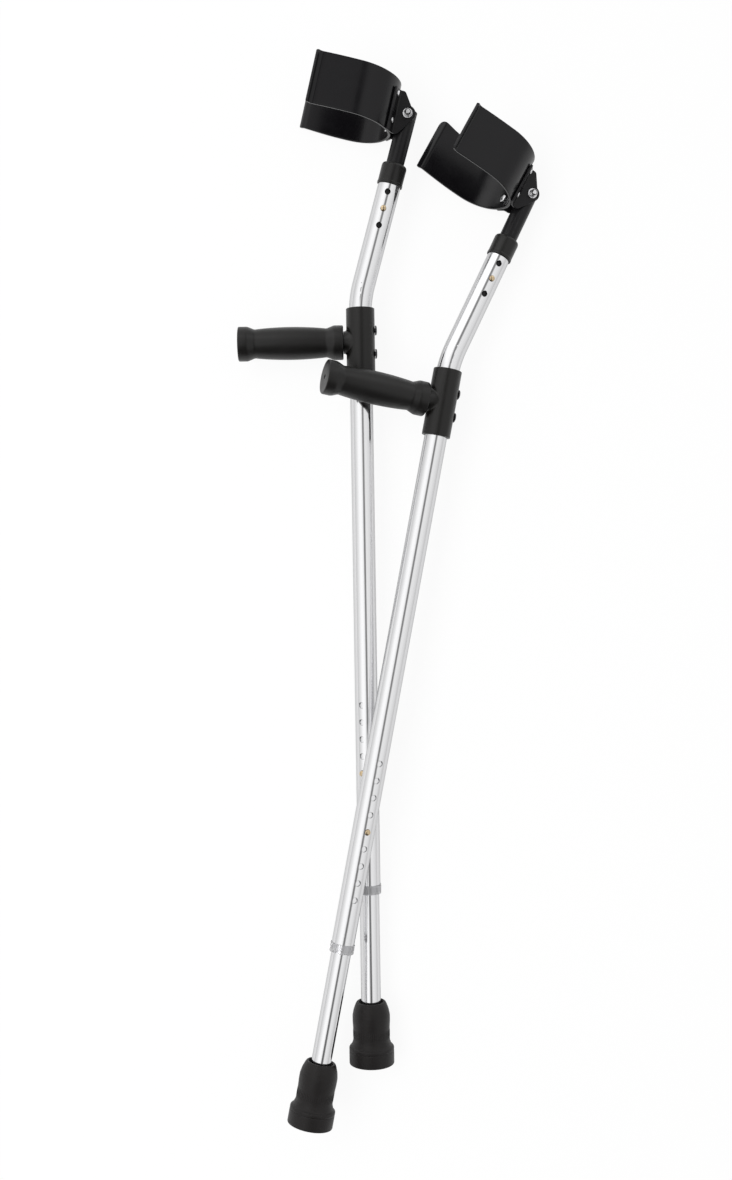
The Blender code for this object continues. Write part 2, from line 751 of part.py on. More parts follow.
def cuff_half_path(front):
    """Half of the cuff's mid line in (forward, sideways), from the lip to the back."""
    half = CUFF_HALF_WIDTH - CUFF_WALL / 2
    bend = LIP_RADIUS
    fall = bend * math.sin(LIP_TURN) + LIP_FLAT * math.cos(LIP_TURN)
    lip_start = front - fall
    lip = arc_points((lip_start, half + bend), bend, -QUARTER, LIP_TURN - QUARTER, LIP_STEPS)
    tangent = Vector((math.cos(LIP_TURN), math.sin(LIP_TURN)))
    tip = lip[-1] + tangent * LIP_FLAT
    corner = [lip[-1] + tangent * LIP_FLAT / 2]
    wall = [Vector((CUFF_CENTRE + (lip_start - CUFF_CENTRE) / 2, half))]
    back = arc_points((CUFF_CENTRE, 0.0), half, QUARTER, 2 * QUARTER, CUFF_ARC_STEPS // 2)
    return [tip] + corner + lip[::-1] + wall + back


def corner_drop(distance, radius):
    """How far a rounded corner lowers the edge at a distance from the end."""
    if distance >= radius:
        return 0.0
    return radius - math.sqrt(radius**2 - (radius - distance) ** 2)


def build_cuff(side, hinge, looks):
    """The open forearm cuff with turned-out lips, drilled for its rivets."""
    near = cuff_half_path(CUFF_NEAR_FRONT)
    far = [Vector((point.x, -point.y)) for point in cuff_half_path(CUFF_FAR_FRONT)[:-1]]
    path = near + far[::-1]
    travel = [0.0]
    for before, after in zip(path, path[1:]):
        travel.append(travel[-1] + (after - before).length)
    left, right = ribbon_outline(path, CUFF_WALL)
    bm = bmesh.new()
    rows = []
    for index, (inner, outer) in enumerate(zip(left, right)):
        near_end, far_end = travel[index], travel[-1] - travel[index]
        drop = corner_drop(far_end, LIP_CORNER) + corner_drop(near_end, LIP_SQUARE)
        low = CUFF_LOW + corner_drop(min(near_end, far_end), LIP_SQUARE)
        high = CUFF_HIGH - drop
        row = [(inner, low), (inner, high), (outer, high), (outer, low)]
        rows.append([bm.verts.new((point.x, point.y, z)) for point, z in row])
    skin(bm, rows, closed=False)
    bm.faces.new(rows[0])
    bm.faces.new(rows[-1])
    cuff = make_object(f"{side}_cuff", bm, looks["black_plastic"], hinge)
    radius = RIVET_RADIUS + SEAT_GAP
    places = [place for _, place in rivet_places()]
    start = CUFF_HALF_WIDTH - 2 * CUFF_WALL
    end = CUFF_HALF_WIDTH + CUFF_WALL
    combine(cuff, drills(f"{side}_cuff_drill", hinge, places, radius, start, end))


def rivet_places():
    """Named frames of the four rivets, on the cuff arc's axis, Z pointing out."""
    places = []
    for side_word, sign in (("near", 1.0), ("far", -1.0)):
        for height_word, step in (("upper", 0.5), ("lower", -0.5)):
            height = RIVET_MIDDLE + step * RIVET_SPACING
            aim = Matrix.Rotation(-sign * RIVET_ANGLE, 4, "Z") @ Matrix.Rotation(-QUARTER, 4, "Y")
            place = Matrix.Translation((CUFF_CENTRE, 0.0, height)) @ aim
            places.append((f"{side_word}_{height_word}", place))
    return places


def plate_outline():
    """The ear plate seen from the side, in (forward, up) from the pivot."""
    shoulder = (PLATE_SHOULDER_BACK + PLATE_SHOULDER, PLATE_HIGH - PLATE_SHOULDER)
    heel = (PLATE_HEEL_BACK + PLATE_HEEL, PLATE_LOW + PLATE_HEEL)
    steps = PLATE_ROUND_STEPS
    outline = [(CUFF_CENTRE, PLATE_HIGH)]
    outline += arc_points(shoulder, PLATE_SHOULDER, QUARTER, SHOULDER_END, steps)
    outline += arc_points((0.0, 0.0), PLATE_NOSE, NOSE_START, NOSE_END, steps)
    outline += arc_points(heel, PLATE_HEEL, NOSE_END, 3 * QUARTER, steps)
    outline.append((CUFF_CENTRE, PLATE_LOW))
    return outline


def plate_path(sign):
    """The bent plate's mid line in (forward, sideways): ear, bend and flange."""
    ear = PLATE_INNER + PLATE_THICKNESS / 2
    reach = CUFF_HALF_WIDTH + SEAT_GAP + PLATE_THICKNESS / 2
    sine, cosine = math.sin(RIVET_ANGLE), math.cos(RIVET_ANGLE)
    middle = Vector((CUFF_CENTRE - reach * cosine, reach * sine))
    along = Vector((sine, cosine))
    corner = middle - along * ((middle.y - ear) / cosine)
    path = [
        Vector((-2 * PLATE_NOSE, ear)),
        corner - Vector((PLATE_BEND / 2, 0.0)),
        corner + along * PLATE_BEND / 2,
        middle + along * FLANGE_HALF,
    ]
    return [Vector((point.x, sign * point.y)) for point in path]


def build_plate(side, word, sign, hinge, looks):
    """One bracket plate: a flange on the cuff's back and an ear beside the post."""
    left, right = ribbon_outline(plate_path(sign), PLATE_THICKNESS)
    bm = extruded(left + right[::-1], PLATE_LOW, PLATE_HIGH)
    plate = make_object(f"{side}_{word}_plate", bm, looks["black_coat"], hinge)
    lay = Matrix.Rotation(QUARTER, 4, "X")
    outline = extruded(plate_outline(), -CUFF_HALF_WIDTH, CUFF_HALF_WIDTH, lay)
    trim = make_object(f"{side}_{word}_plate_trim", outline, None, hinge)
    combine(plate, trim, "INTERSECT")
    radius = RIVET_RADIUS + SEAT_GAP
    places = [place for name, place in rivet_places() if name.startswith(word)]
    end = CUFF_HALF_WIDTH + 3 * PLATE_THICKNESS
    start = CUFF_HALF_WIDTH - CUFF_WALL
    combine(plate, drills(f"{side}_{word}_rivet_drill", hinge, places, radius, start, end))
    pivot = [radial_place(0.0, 0.0)]
    radius = BOLT_RADIUS + SEAT_GAP
    span = 2 * PLATE_OUTER
    combine(plate, drills(f"{side}_{word}_bolt_drill", hinge, pivot, radius, -span, span))


def build_rivets(side, hinge, looks):
    """Four rivets: a domed head inside the cuff and a flat tail on the flange."""
    cuff_inner = CUFF_HALF_WIDTH - CUFF_WALL
    sag = cuff_inner - math.sqrt(cuff_inner**2 - RIVET_DOME_RADIUS**2)
    head = cuff_inner - sag - SEAT_GAP
    tail = CUFF_HALF_WIDTH + SEAT_GAP + PLATE_THICKNESS + SEAT_GAP
    profile = dome(RIVET_DOME_RADIUS, head, -RIVET_DOME_HEIGHT)[::-1]
    profile += [(RIVET_RADIUS, head), (RIVET_RADIUS, tail)]
    profile += dome(RIVET_TAIL_RADIUS, tail, RIVET_TAIL_HEIGHT)
    for word, place in rivet_places():
        bm = turned(profile, HOLE_SIDES)
        make_object(f"{side}_rivet_{word}", bm, looks["zinc"], hinge, place)


def build_pivot(side, forearm, looks):
    """The pivot bolt through both ears and the post, with washer and lock nut."""
    place = radial_place(PIVOT_HEIGHT, 0.0)
    face = PLATE_OUTER + SEAT_GAP
    washer_top = face + PIVOT_WASHER
    nut_low = washer_top + SEAT_GAP
    nut_top = nut_low + NUT_HEIGHT
    bolt = dome(BOLT_HEAD_RADIUS, -face - BOLT_RIM, BOLT_RIM - BOLT_HEAD_HEIGHT)[::-1]
    bolt += [
        (BOLT_HEAD_RADIUS, -face),
        (BOLT_RADIUS, -face),
        (BOLT_RADIUS, nut_top + BOLT_END),
        (0.0, nut_top + BOLT_END),
    ]
    bm = turned(bolt, HOLE_SIDES)
    make_object(f"{side}_pivot_bolt", bm, looks["zinc"], forearm, place)
    inner = BOLT_RADIUS + SEAT_GAP
    profile = washer_profile(inner, WASHER_RADIUS, face, washer_top)
    washer = turned(profile, WASHER_SIDES, ring=True)
    make_object(f"{side}_pivot_washer", washer, looks["zinc"], forearm, place)
    nut_bore = inner / math.cos(math.pi / NUT_SIDES)
    nut = [
        (NUT_RADIUS, nut_low),
        (NUT_RADIUS, nut_top - NUT_BEVEL),
        (NUT_TOP_RADIUS, nut_top),
        (nut_bore, nut_top),
        (nut_bore, nut_low),
    ]
    body = turned(nut, NUT_SIDES, ring=True)
    make_object(f"{side}_pivot_nut", body, looks["zinc"], forearm, place)


def build_crutch(crutch, looks):
    """Build one upright crutch and return the empty that carries it."""
    side = crutch.name
    frame = make_empty(f"{side}_crutch")
    build_main_tube(crutch, frame, looks)
    build_leg(crutch, frame, looks)
    build_handle(crutch, frame, looks)
    forearm = make_empty(f"{side}_forearm", frame, forearm_place())
    build_post(crutch, forearm, looks)
    tilt = Matrix.Rotation(crutch.cuff_tilt, 4, "Y")
    place = Matrix.Translation((0.0, 0.0, PIVOT_HEIGHT)) @ tilt
    hinge = make_empty(f"{side}_cuff_hinge", forearm, place)
    build_cuff(side, hinge, looks)
    for word, sign in (("near", 1.0), ("far", -1.0)):
        build_plate(side, word, sign, hinge, looks)
    build_rivets(side, hinge, looks)
    build_pivot(side, forearm, looks)
    return frame


# Laying the pair down


def lying_rotation(crutch, slope):
    """The turn that lays an upright crutch down, its leg rising by slope."""
    rise = Vector((math.sin(crutch.lean), math.cos(crutch.lean), 0.0)) * math.cos(slope)
    rise.z = math.sin(slope)
    across = Vector((-math.cos(crutch.lean), math.sin(crutch.lean), 0.0))
    normal = rise.cross(across)
    handle = math.cos(crutch.roll) * across + math.sin(crutch.roll) * normal
    face = math.cos(crutch.roll) * normal - math.sin(crutch.roll) * across
    return Matrix((handle, face, rise)).transposed()


def local_points(name, frame):
    """A piece's points in the frame of its upright crutch."""
    piece = bpy.data.objects[name]
    place = frame.matrix_world.inverted() @ piece.matrix_world
    return [place @ point.co for point in piece.data.vertices]


def lowest(points, turn):
    """The lowest height among points after a turn about the crutch's foot."""
    return min((turn @ point).z for point in points)


def solve_slope(height_error, limit):
    """Halve the range of slopes until the two ends are level."""
    low, high = -limit, limit
    for _ in range(SLOPE_ROUNDS):
        middle = (low + high) / 2
        if height_error(middle) > 0:
            high = middle
        else:
            low = middle
    return (low + high) / 2


def lay_left(frame):
    """Lay the left crutch on its tip and the side of its cuff."""
    tip = local_points("left_tip", frame)
    cuff = local_points("left_cuff", frame)

    def error(slope):
        turn = lying_rotation(LEFT, slope)
        return lowest(cuff, turn) - lowest(tip, turn)

    slope = solve_slope(error, SLOPE_LIMIT)
    turn = lying_rotation(LEFT, slope)
    foot = Vector((*LEFT.foot, -lowest(tip, turn)))
    frame.matrix_basis = Matrix.Translation(foot) @ turn.to_4x4()
    return foot, turn @ Vector((0.0, 0.0, 1.0))


def crossing_height(foot, rise, turn):
    """The right foot's height at which its tube rests on the left one."""
    other = turn @ Vector((0.0, 0.0, 1.0))
    normal = rise.cross(other).normalized()
    if normal.z < 0:
        normal = -normal
    flat = Vector((*RIGHT.foot, 0.0)) - foot
    return (MAIN_OD + CROSSING_GAP - flat.dot(normal)) / normal.z


def lay_right(frame, foot, rise):
    """Lay the right crutch across the left one, its cuff on the floor."""
    cuff = local_points("right_cuff", frame)

    def error(slope):
        turn = lying_rotation(RIGHT, slope)
        return crossing_height(foot, rise, turn) + lowest(cuff, turn)

    slope = solve_slope(error, SLOPE_LIMIT)
    turn = lying_rotation(RIGHT, slope)
    place = Vector((*RIGHT.foot, crossing_height(foot, rise, turn)))
    frame.matrix_basis = Matrix.Translation(place) @ turn.to_4x4()


def centre_pair(frames):
    """Move the pair so that the middle of its box stands on the origin."""
    bpy.context.view_layer.update()
    graph = bpy.context.evaluated_depsgraph_get()
    points = []
    for item in bpy.data.objects:
        if item.type != "MESH" or item.hide_render:
            continue
        shape = item.evaluated_get(graph)
        points += [item.matrix_world @ point.co for point in shape.data.vertices]
    low = Vector([min(point[axis] for point in points) for axis in range(3)])
    high = Vector([max(point[axis] for point in points) for axis in range(3)])
    shift = Vector((-(low.x + high.x) / 2, -(low.y + high.y) / 2, -low.z))
    for frame in frames:
        frame.matrix_basis = Matrix.Translation(shift) @ frame.matrix_basis
    bpy.context.view_layer.update()


def main():
    """Build both crutches and lay them down."""
    clear_scene()
    looks = make_materials()
    left = build_crutch(LEFT, looks)
    right = build_crutch(RIGHT, looks)
    bpy.context.view_layer.update()
    foot, rise = lay_left(left)
    lay_right(right, foot, rise)
    centre_pair([left, right])


main()
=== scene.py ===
"""A pair of forearm crutches, lying crossed on a white floor.

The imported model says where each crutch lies. Every piece is made upright, in
millimetres, in its crutch's own frame, and its mesh is then laid down in place:
origin at the middle of the tip's base, +Z up the leg, +X towards the handgrip and
+Y to the side that faces up on the floor. Lengths are in millimetres unless a
comment says otherwise, and a Profile is a list of (radius, height) points.
"""

from __future__ import annotations

import json
import logging
import math
from dataclasses import dataclass, field
from enum import Enum

import bmesh
import bpy
import numpy as np
from mathutils import Matrix, Vector

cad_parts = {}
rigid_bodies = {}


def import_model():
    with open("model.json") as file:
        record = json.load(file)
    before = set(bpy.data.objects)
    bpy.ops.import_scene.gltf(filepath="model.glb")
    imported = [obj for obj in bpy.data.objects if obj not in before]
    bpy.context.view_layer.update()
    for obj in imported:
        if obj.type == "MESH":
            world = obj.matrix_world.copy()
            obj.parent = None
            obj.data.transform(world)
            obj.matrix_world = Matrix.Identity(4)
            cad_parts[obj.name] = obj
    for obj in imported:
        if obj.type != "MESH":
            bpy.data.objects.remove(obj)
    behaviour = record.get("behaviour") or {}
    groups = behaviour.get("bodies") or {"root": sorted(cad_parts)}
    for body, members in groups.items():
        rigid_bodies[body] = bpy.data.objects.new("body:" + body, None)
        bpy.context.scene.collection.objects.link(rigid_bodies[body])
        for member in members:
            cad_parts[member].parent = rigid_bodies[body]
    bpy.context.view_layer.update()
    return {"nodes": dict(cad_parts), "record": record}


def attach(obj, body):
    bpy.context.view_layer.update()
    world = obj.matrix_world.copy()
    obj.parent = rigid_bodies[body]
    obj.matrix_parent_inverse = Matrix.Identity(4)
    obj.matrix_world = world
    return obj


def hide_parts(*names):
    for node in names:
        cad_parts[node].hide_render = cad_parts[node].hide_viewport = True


LOG = logging.getLogger("crutches")

Bmesh = bmesh.types.BMesh
Tree = bpy.types.NodeTree
Node = bpy.types.Node
Socket = bpy.types.NodeSocket
Profile = list[tuple[float, float]]
Pair = tuple[float, float]
Triple = tuple[float, float, float]
Colour = Triple

FLOAT = "NodeSocketFloat"
INTEGER = "NodeSocketInt"
VECTOR = "NodeSocketVector"
GEOMETRY = "NodeSocketGeometry"
OBJECT = "NodeSocketObject"
MATERIAL = "NodeSocketMaterial"

MM = 0.001
QUARTER = math.pi / 2
ROUND_SIDES = 96
SMALL_SIDES = 40
CREASE = math.radians(38.0)
MERGE = 0.001
SEAT_GAP = 0.35
CORNER_SHARE = 0.45
ALONG = "along"
AIM = "aim"
ROOT_BODY = "main_tubes"


class Side(Enum):
    """The two crutches, as they lie in the picture."""

    LEFT = "left"
    RIGHT = "right"


class Pattern(Enum):
    """How a finish varies over its surface."""

    GRAIN = "grain"
    STREAK = "streak"


LEG_HOLE_TURN = {Side.LEFT: math.radians(27.0), Side.RIGHT: math.radians(-4.0)}
POST_HOLE_TURN = {Side.LEFT: math.radians(-1.5), Side.RIGHT: 0.0}
CUFF_TILT = {Side.LEFT: math.radians(2.0), Side.RIGHT: math.radians(-3.0)}

# Where things are


def axes_frame(origin: Vector, ahead: Vector, face: Vector, rise: Vector) -> Matrix:
    """A frame in metres from its origin and its three axes.

    Args:
        origin: Where the frame stands.
        ahead: Its X axis.
        face: Its Y axis.
        rise: Its Z axis.

    Returns:
        The 4x4 matrix of the frame.
    """
    turn = Matrix((ahead, face, rise)).transposed().to_4x4()
    return Matrix.Translation(origin) @ turn


@dataclass(frozen=True)
class Lay:
    """How one crutch lies: frames that take millimetres to the scene's metres."""

    side: Side
    crutch: Matrix
    forearm: Matrix
    cuff: Matrix

    @classmethod
    def from_record(cls, side: Side, record: dict) -> Lay:
        """Read one crutch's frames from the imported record.

        Args:
            side: Which crutch.
            record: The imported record.

        Returns:
            The crutch's frames.
        """
        joints = {joint["name"]: joint for joint in record["behaviour"]["joints"]}
        mounts = {mount["name"]: mount for mount in record["mounts"]}
        word = side.value
        rise = -Vector(joints[f"{word}_leg_slide"]["axis"])
        reach = Vector(joints[f"{word}_post_slide"]["axis"])
        face = Vector(joints[f"{word}_cuff_tilt"]["axis"])
        pivot = Vector(joints[f"{word}_cuff_tilt"]["pos_m"])
        foot = Vector(mounts[f"{word}_tip_base"]["pos_m"])
        bend = pivot - reach * PostSet.pivot_height * MM
        scale = Matrix.Scale(MM, 4)
        crutch = axes_frame(foot, face.cross(rise), face, rise) @ scale
        forearm = axes_frame(bend, face.cross(reach), face, reach) @ scale
        tilt = Matrix.Rotation(CUFF_TILT[side], 4, "Y")
        cuff = forearm @ Matrix.Translation((0.0, 0.0, PostSet.pivot_height)) @ tilt
        return cls(side, crutch, forearm, cuff)

    def node(self, name: str) -> str:
        """The full name of one of this crutch's nodes."""
        return f"{self.side.value}_{name}"


# Nodes and groups


def feed(tree: Tree, node: Node, inputs: dict) -> None:
    """Set or link a node's inputs.

    Args:
        tree: The node's tree.
        node: The node.
        inputs: Values or sockets by input name or index.
    """
    for key, value in inputs.items():
        if isinstance(value, Socket):
            tree.links.new(value, node.inputs[key])
        else:
            node.inputs[key].default_value = value


def put(tree: Tree, kind: str, inputs: dict | None = None, **settings: object) -> Node:
    """Add a node, with its settings, values and links.

    Args:
        tree: The tree that the node joins.
        kind: The node's type name.
        inputs: Values or sockets by input name or index.
        **settings: Properties of the node.

    Returns:
        The new node.
    """
    node = tree.nodes.new(kind)
    for key, value in settings.items():
        setattr(node, key, value)
    feed(tree, node, inputs or {})
    return node


def open_group(name: str, kind: str, takes: dict, gives: dict) -> tuple[Tree, Node, Node]:
    """Start a node group with named inputs and outputs.

    Args:
        name: The group's name.
        kind: The tree's type name.
        takes: Input names with (socket type, default value or None).
        gives: Output names with their socket type.

    Returns:
        The tree, its input node and its output node.
    """
    tree = bpy.data.node_groups.new(name, kind)
    for label, (socket, value) in takes.items():
        item = tree.interface.new_socket(label, in_out="INPUT", socket_type=socket)
        if value is not None:
            item.default_value = value
    for label, socket in gives.items():
        tree.interface.new_socket(label, in_out="OUTPUT", socket_type=socket)
    return tree, tree.nodes.new("NodeGroupInput"), tree.nodes.new("NodeGroupOutput")


def math_node(tree: Tree, operation: str, *terms: float | Socket) -> Socket:
    """A Math node's result from values or sockets."""
    return put(tree, "ShaderNodeMath", dict(enumerate(terms)), operation=operation).outputs[0]


def multiply(tree: Tree, first: Socket, *factors: float | Socket) -> Socket:
    """Multiply values one after the other.

    Args:
        tree: The tree that the nodes join.
        first: The value to start from.
        *factors: What it is multiplied by.

    Returns:
        The product's socket.
    """
    product = first
    for factor in factors:
        product = math_node(tree, "MULTIPLY", product, factor)
    return product


def noise(tree: Tree, place: Socket, scale: float | Socket, detail: float,
          roughness: float = 0.5) -> Socket:
    """A noise texture's value at a place.

    Args:
        tree: The tree that the node joins.
        place: The place's socket.
        scale: How fine the noise is.
        detail: How many finer layers it has.
        roughness: How strong the finer layers are.

    Returns:
        The value's socket.
    """
    sizes = {"Vector": place, "Scale": scale, "Detail": detail, "Roughness": roughness}
    return put(tree, "ShaderNodeTexNoise", sizes).outputs["Fac"]


def map_range(tree: Tree, value: Socket, start: float, end: float, low: float = 0.0,
              high: float = 1.0, soft: bool = False) -> Socket:
    """Carry a value from one span to another.

    Args:
        tree: The tree that the node joins.
        value: The value's socket.
        start: Where the value's own span starts.
        end: Where that span ends.
        low: What the start becomes.
        high: What the end becomes.
        soft: Whether both ends are eased.

    Returns:
        The new value's socket.
    """
    spans = {0: value, 1: start, 2: end, 3: low, 4: high}
    easing = "SMOOTHSTEP" if soft else "LINEAR"
    return put(tree, "ShaderNodeMapRange", spans, interpolation_type=easing).outputs[0]


def mix_value(tree: Tree, share: Socket, under: float | Socket, over: float | Socket) -> Socket:
    """One value mixed over another by a share."""
    return put(tree, "ShaderNodeMix", {0: share, 2: under, 3: over}).outputs[0]


def mix_colour(tree: Tree, share: Socket, under: tuple | Socket, over: tuple) -> Socket:
    """One colour mixed over another by a share."""
    stops = {0: share, 6: under, 7: over}
    return put(tree, "ShaderNodeMix", stops, data_type="RGBA").outputs[2]


def paint(colour: Colour, share: float = 1.0) -> tuple[float, float, float, float]:
    """A colour, made darker by a share, with its alpha."""
    return (*(part * share for part in colour), 1.0)


# Shader groups and finishes


@dataclass
class SurfaceGroups:
    """The shader groups that the finishes share, and how coarse each effect is."""

    blotch_share: float = 0.045
    cell_share: float = 0.5
    line_stretch: Triple = (1.0, 1.0, 0.004)
    band_stretch: Triple = (0.12, 0.12, 0.01)
    band_scale: float = 5.0
    ridge_span: Pair = (0.53, 0.62)
    rub_scale: float = 220.0
    rub_span: Pair = (0.42, 0.68)
    patch_scale: float = 38.0
    patch_span: Pair = (0.45, 0.75)
    speck_scale: float = 2600.0
    speck_span: Pair = (0.5, 0.7)
    grain: Tree = field(init=False)
    streak: Tree = field(init=False)
    wear: Tree = field(init=False)
    dust: Tree = field(init=False)

    def __post_init__(self) -> None:
        """Build each group once."""
        self.grain = self.build_grain()
        self.streak = self.build_streak()
        self.wear = self.build_wear()
        self.dust = self.build_dust()

    @staticmethod
    def open_surface(name: str, control: str, value: float,
                     *results: str) -> tuple[Tree, Socket, Socket, Node]:
        """Start a group that takes a place and one control.

        Args:
            name: The group's name.
            control: The control's name.
            value: The control's default value.
            *results: The names of the values that the group gives.

        Returns:
            The tree, the place's socket, the control's socket and the output node.
        """
        takes = {"Vector": (VECTOR, None), control: (FLOAT, value)}
        gives = dict.fromkeys(results, FLOAT)
        tree, start, end = open_group(name, "ShaderNodeTree", takes, gives)
        return tree, start.outputs["Vector"], start.outputs[control], end

    def build_grain(self) -> Tree:
        """Moulded grain: fine pits for the bump and slow blotches for the colour.

        Returns:
            The group's tree.
        """
        tree, place, scale, end = self.open_surface("moulded_grain", "Scale", 900.0,
                                                    "Height", "Blotch")
        pits = noise(tree, place, scale, detail=4.0, roughness=0.6)
        cells = put(tree, "ShaderNodeTexVoronoi", {"Vector": place, "Scale": scale})
        slow = multiply(tree, scale, self.blotch_share)
        blotch = noise(tree, place, slow, detail=3.0)
        distance = cells.outputs["Distance"]
        height = math_node(tree, "MULTIPLY_ADD", distance, self.cell_share, pits)
        feed(tree, end, {"Height": height, "Blotch": blotch})
        return tree

    def build_streak(self) -> Tree:
        """Drawn metal: fine lines and broad faint bands that run along the tube.

        Returns:
            The group's tree.
        """
        tree, place, scale, end = self.open_surface("drawn_streaks", "Scale", 1.0,
                                                    "Height", "Blotch")
        thin = put(tree, "ShaderNodeMapping", {"Vector": place, "Scale": self.line_stretch})
        lines = noise(tree, thin.outputs[0], scale, detail=5.0, roughness=0.7)
        wide = put(tree, "ShaderNodeMapping", {"Vector": place, "Scale": self.band_stretch})
        bands = noise(tree, wide.outputs[0], self.band_scale, detail=3.0)
        feed(tree, end, {"Height": lines, "Blotch": bands})
        return tree

    def build_wear(self) -> Tree:
        """Edge wear: a broken mask where the surface turns sharply outwards.

        Returns:
            The group's tree.
        """
        tree, place, amount, end = self.open_surface("edge_wear", "Amount", 0.3, "Mask")
        point = put(tree, "ShaderNodeNewGeometry").outputs["Pointiness"]
        ridge = map_range(tree, point, *self.ridge_span)
        rub = noise(tree, place, self.rub_scale, detail=5.0)
        broken = map_range(tree, rub, *self.rub_span)
        feed(tree, end, {"Mask": multiply(tree, ridge, broken, amount)})
        return tree

    def build_dust(self) -> Tree:
        """Faint dust in loose patches.

        Returns:
            The group's tree.
        """
        tree, place, amount, end = self.open_surface("loose_dust", "Amount", 0.1, "Mask")
        patch = noise(tree, place, self.patch_scale, detail=6.0)
        speck = noise(tree, place, self.speck_scale, detail=2.0)
        patches = map_range(tree, patch, *self.patch_span)
        specks = map_range(tree, speck, *self.speck_span)
        feed(tree, end, {"Mask": multiply(tree, patches, specks, amount)})
        return tree


DUST_COLOUR = (0.22, 0.21, 0.20)
BLOTCH_SPAN = (0.3, 0.7)
# Facing values over which the painted edge shade comes in.
TURNED_SPAN = (0.14, 0.40)
BUMP_METRES = 0.0004


@dataclass(frozen=True)
class Finish:
    """One finish of the real crutches, dressed from the shared groups."""

    name: str
    slot: str
    colour: Colour
    roughness: float
    metallic: float = 0.0
    specular: float = 0.5
    edge_tint: float = 1.0
    # How much colour is left at turned-away edges; below 1 it paints shade there.
    painted_edge_shade: float = 1.0
    transmission: float = 0.0
    pattern: Pattern = Pattern.GRAIN
    scale: float = 900.0
    depth: float = 0.02
    shade: float = 0.2
    spread: float = 0.1
    wear: float = 0.0
    worn: Colour = (0.10, 0.10, 0.10)
    dust: float = 0.0

    def build(self, groups: SurfaceGroups) -> bpy.types.Material:
        """Make the finish's material.

        Args:
            groups: The shared shader groups.

        Returns:
            The material.
        """
        material = bpy.data.materials.new(self.name)
        material.use_nodes = True
        tree = material.node_tree
        place = self.surface_place(tree)
        group = groups.streak if self.pattern is Pattern.STREAK else groups.grain
        texture = put(tree, "ShaderNodeGroup", {"Vector": place, "Scale": self.scale},
                      node_tree=group).outputs
        blotch = texture["Blotch"]
        dark = paint(self.colour, 1.0 - self.shade)
        colour = mix_colour(tree, blotch, dark, paint(self.colour))
        if self.wear:
            colour = self.laid_over(tree, groups.wear, place, self.wear, colour, self.worn)
        if self.dust:
            colour = self.laid_over(tree, groups.dust, place, self.dust, colour, DUST_COLOUR)
        # Painted shade: the colour darkens where a round piece turns from the eye.
        if self.painted_edge_shade < 1.0:
            colour = self.painted_turned_shade(tree, colour)
        low, high = self.roughness - self.spread / 2, self.roughness + self.spread / 2
        bump = {"Strength": self.depth, "Distance": BUMP_METRES, "Height": texture["Height"]}
        tint = self.edge_tint
        feed(tree, tree.nodes["Principled BSDF"], {
            "Base Color": colour,
            "Roughness": map_range(tree, blotch, *BLOTCH_SPAN, low, high),
            "Normal": put(tree, "ShaderNodeBump", bump).outputs["Normal"],
            "Metallic": self.metallic,
            "Specular IOR Level": self.specular,
            "Specular Tint": (tint, tint, tint, 1.0),
            "Transmission Weight": self.transmission,
        })
        return material

    def surface_place(self, tree: Tree) -> Socket:
        """The coordinates that the finish's pattern follows.

        Args:
            tree: The material's tree.

        Returns:
            The coordinates' socket.
        """
        if self.pattern is Pattern.STREAK:
            return put(tree, "ShaderNodeAttribute", attribute_name=ALONG).outputs["Vector"]
        return put(tree, "ShaderNodeTexCoord").outputs["Object"]

    def painted_turned_shade(self, tree: Tree, colour: Socket) -> Socket:
        """Painted shade: the metal's colour, darker where a round piece turns from the eye.

        Args:
            tree: The material's tree.
            colour: The metal's colour, which is its gloss.

        Returns:
            The darkened colour's socket.
        """
        facing = put(tree, "ShaderNodeLayerWeight").outputs["Facing"]
        turned = map_range(tree, facing, *TURNED_SPAN, soft=True)
        return mix_colour(tree, turned, colour, paint(self.colour, self.painted_edge_shade))

    @staticmethod
    def laid_over(tree: Tree, group: Tree, place: Socket, amount: float, under: Socket,
                  over: Colour) -> Socket:
        """Mix a colour over another where a group's mask says.

        Args:
            tree: The material's tree.
            group: The group that gives the mask.
            place: The surface coordinates.
            amount: How strong the mask is.
            under: The colour underneath.
            over: The colour on top.

        Returns:
            The mixed colour's socket.
        """
        mask = put(tree, "ShaderNodeGroup", {"Vector": place, "Amount": amount}, node_tree=group)
        return mix_colour(tree, mask.outputs["Mask"], under, paint(over))


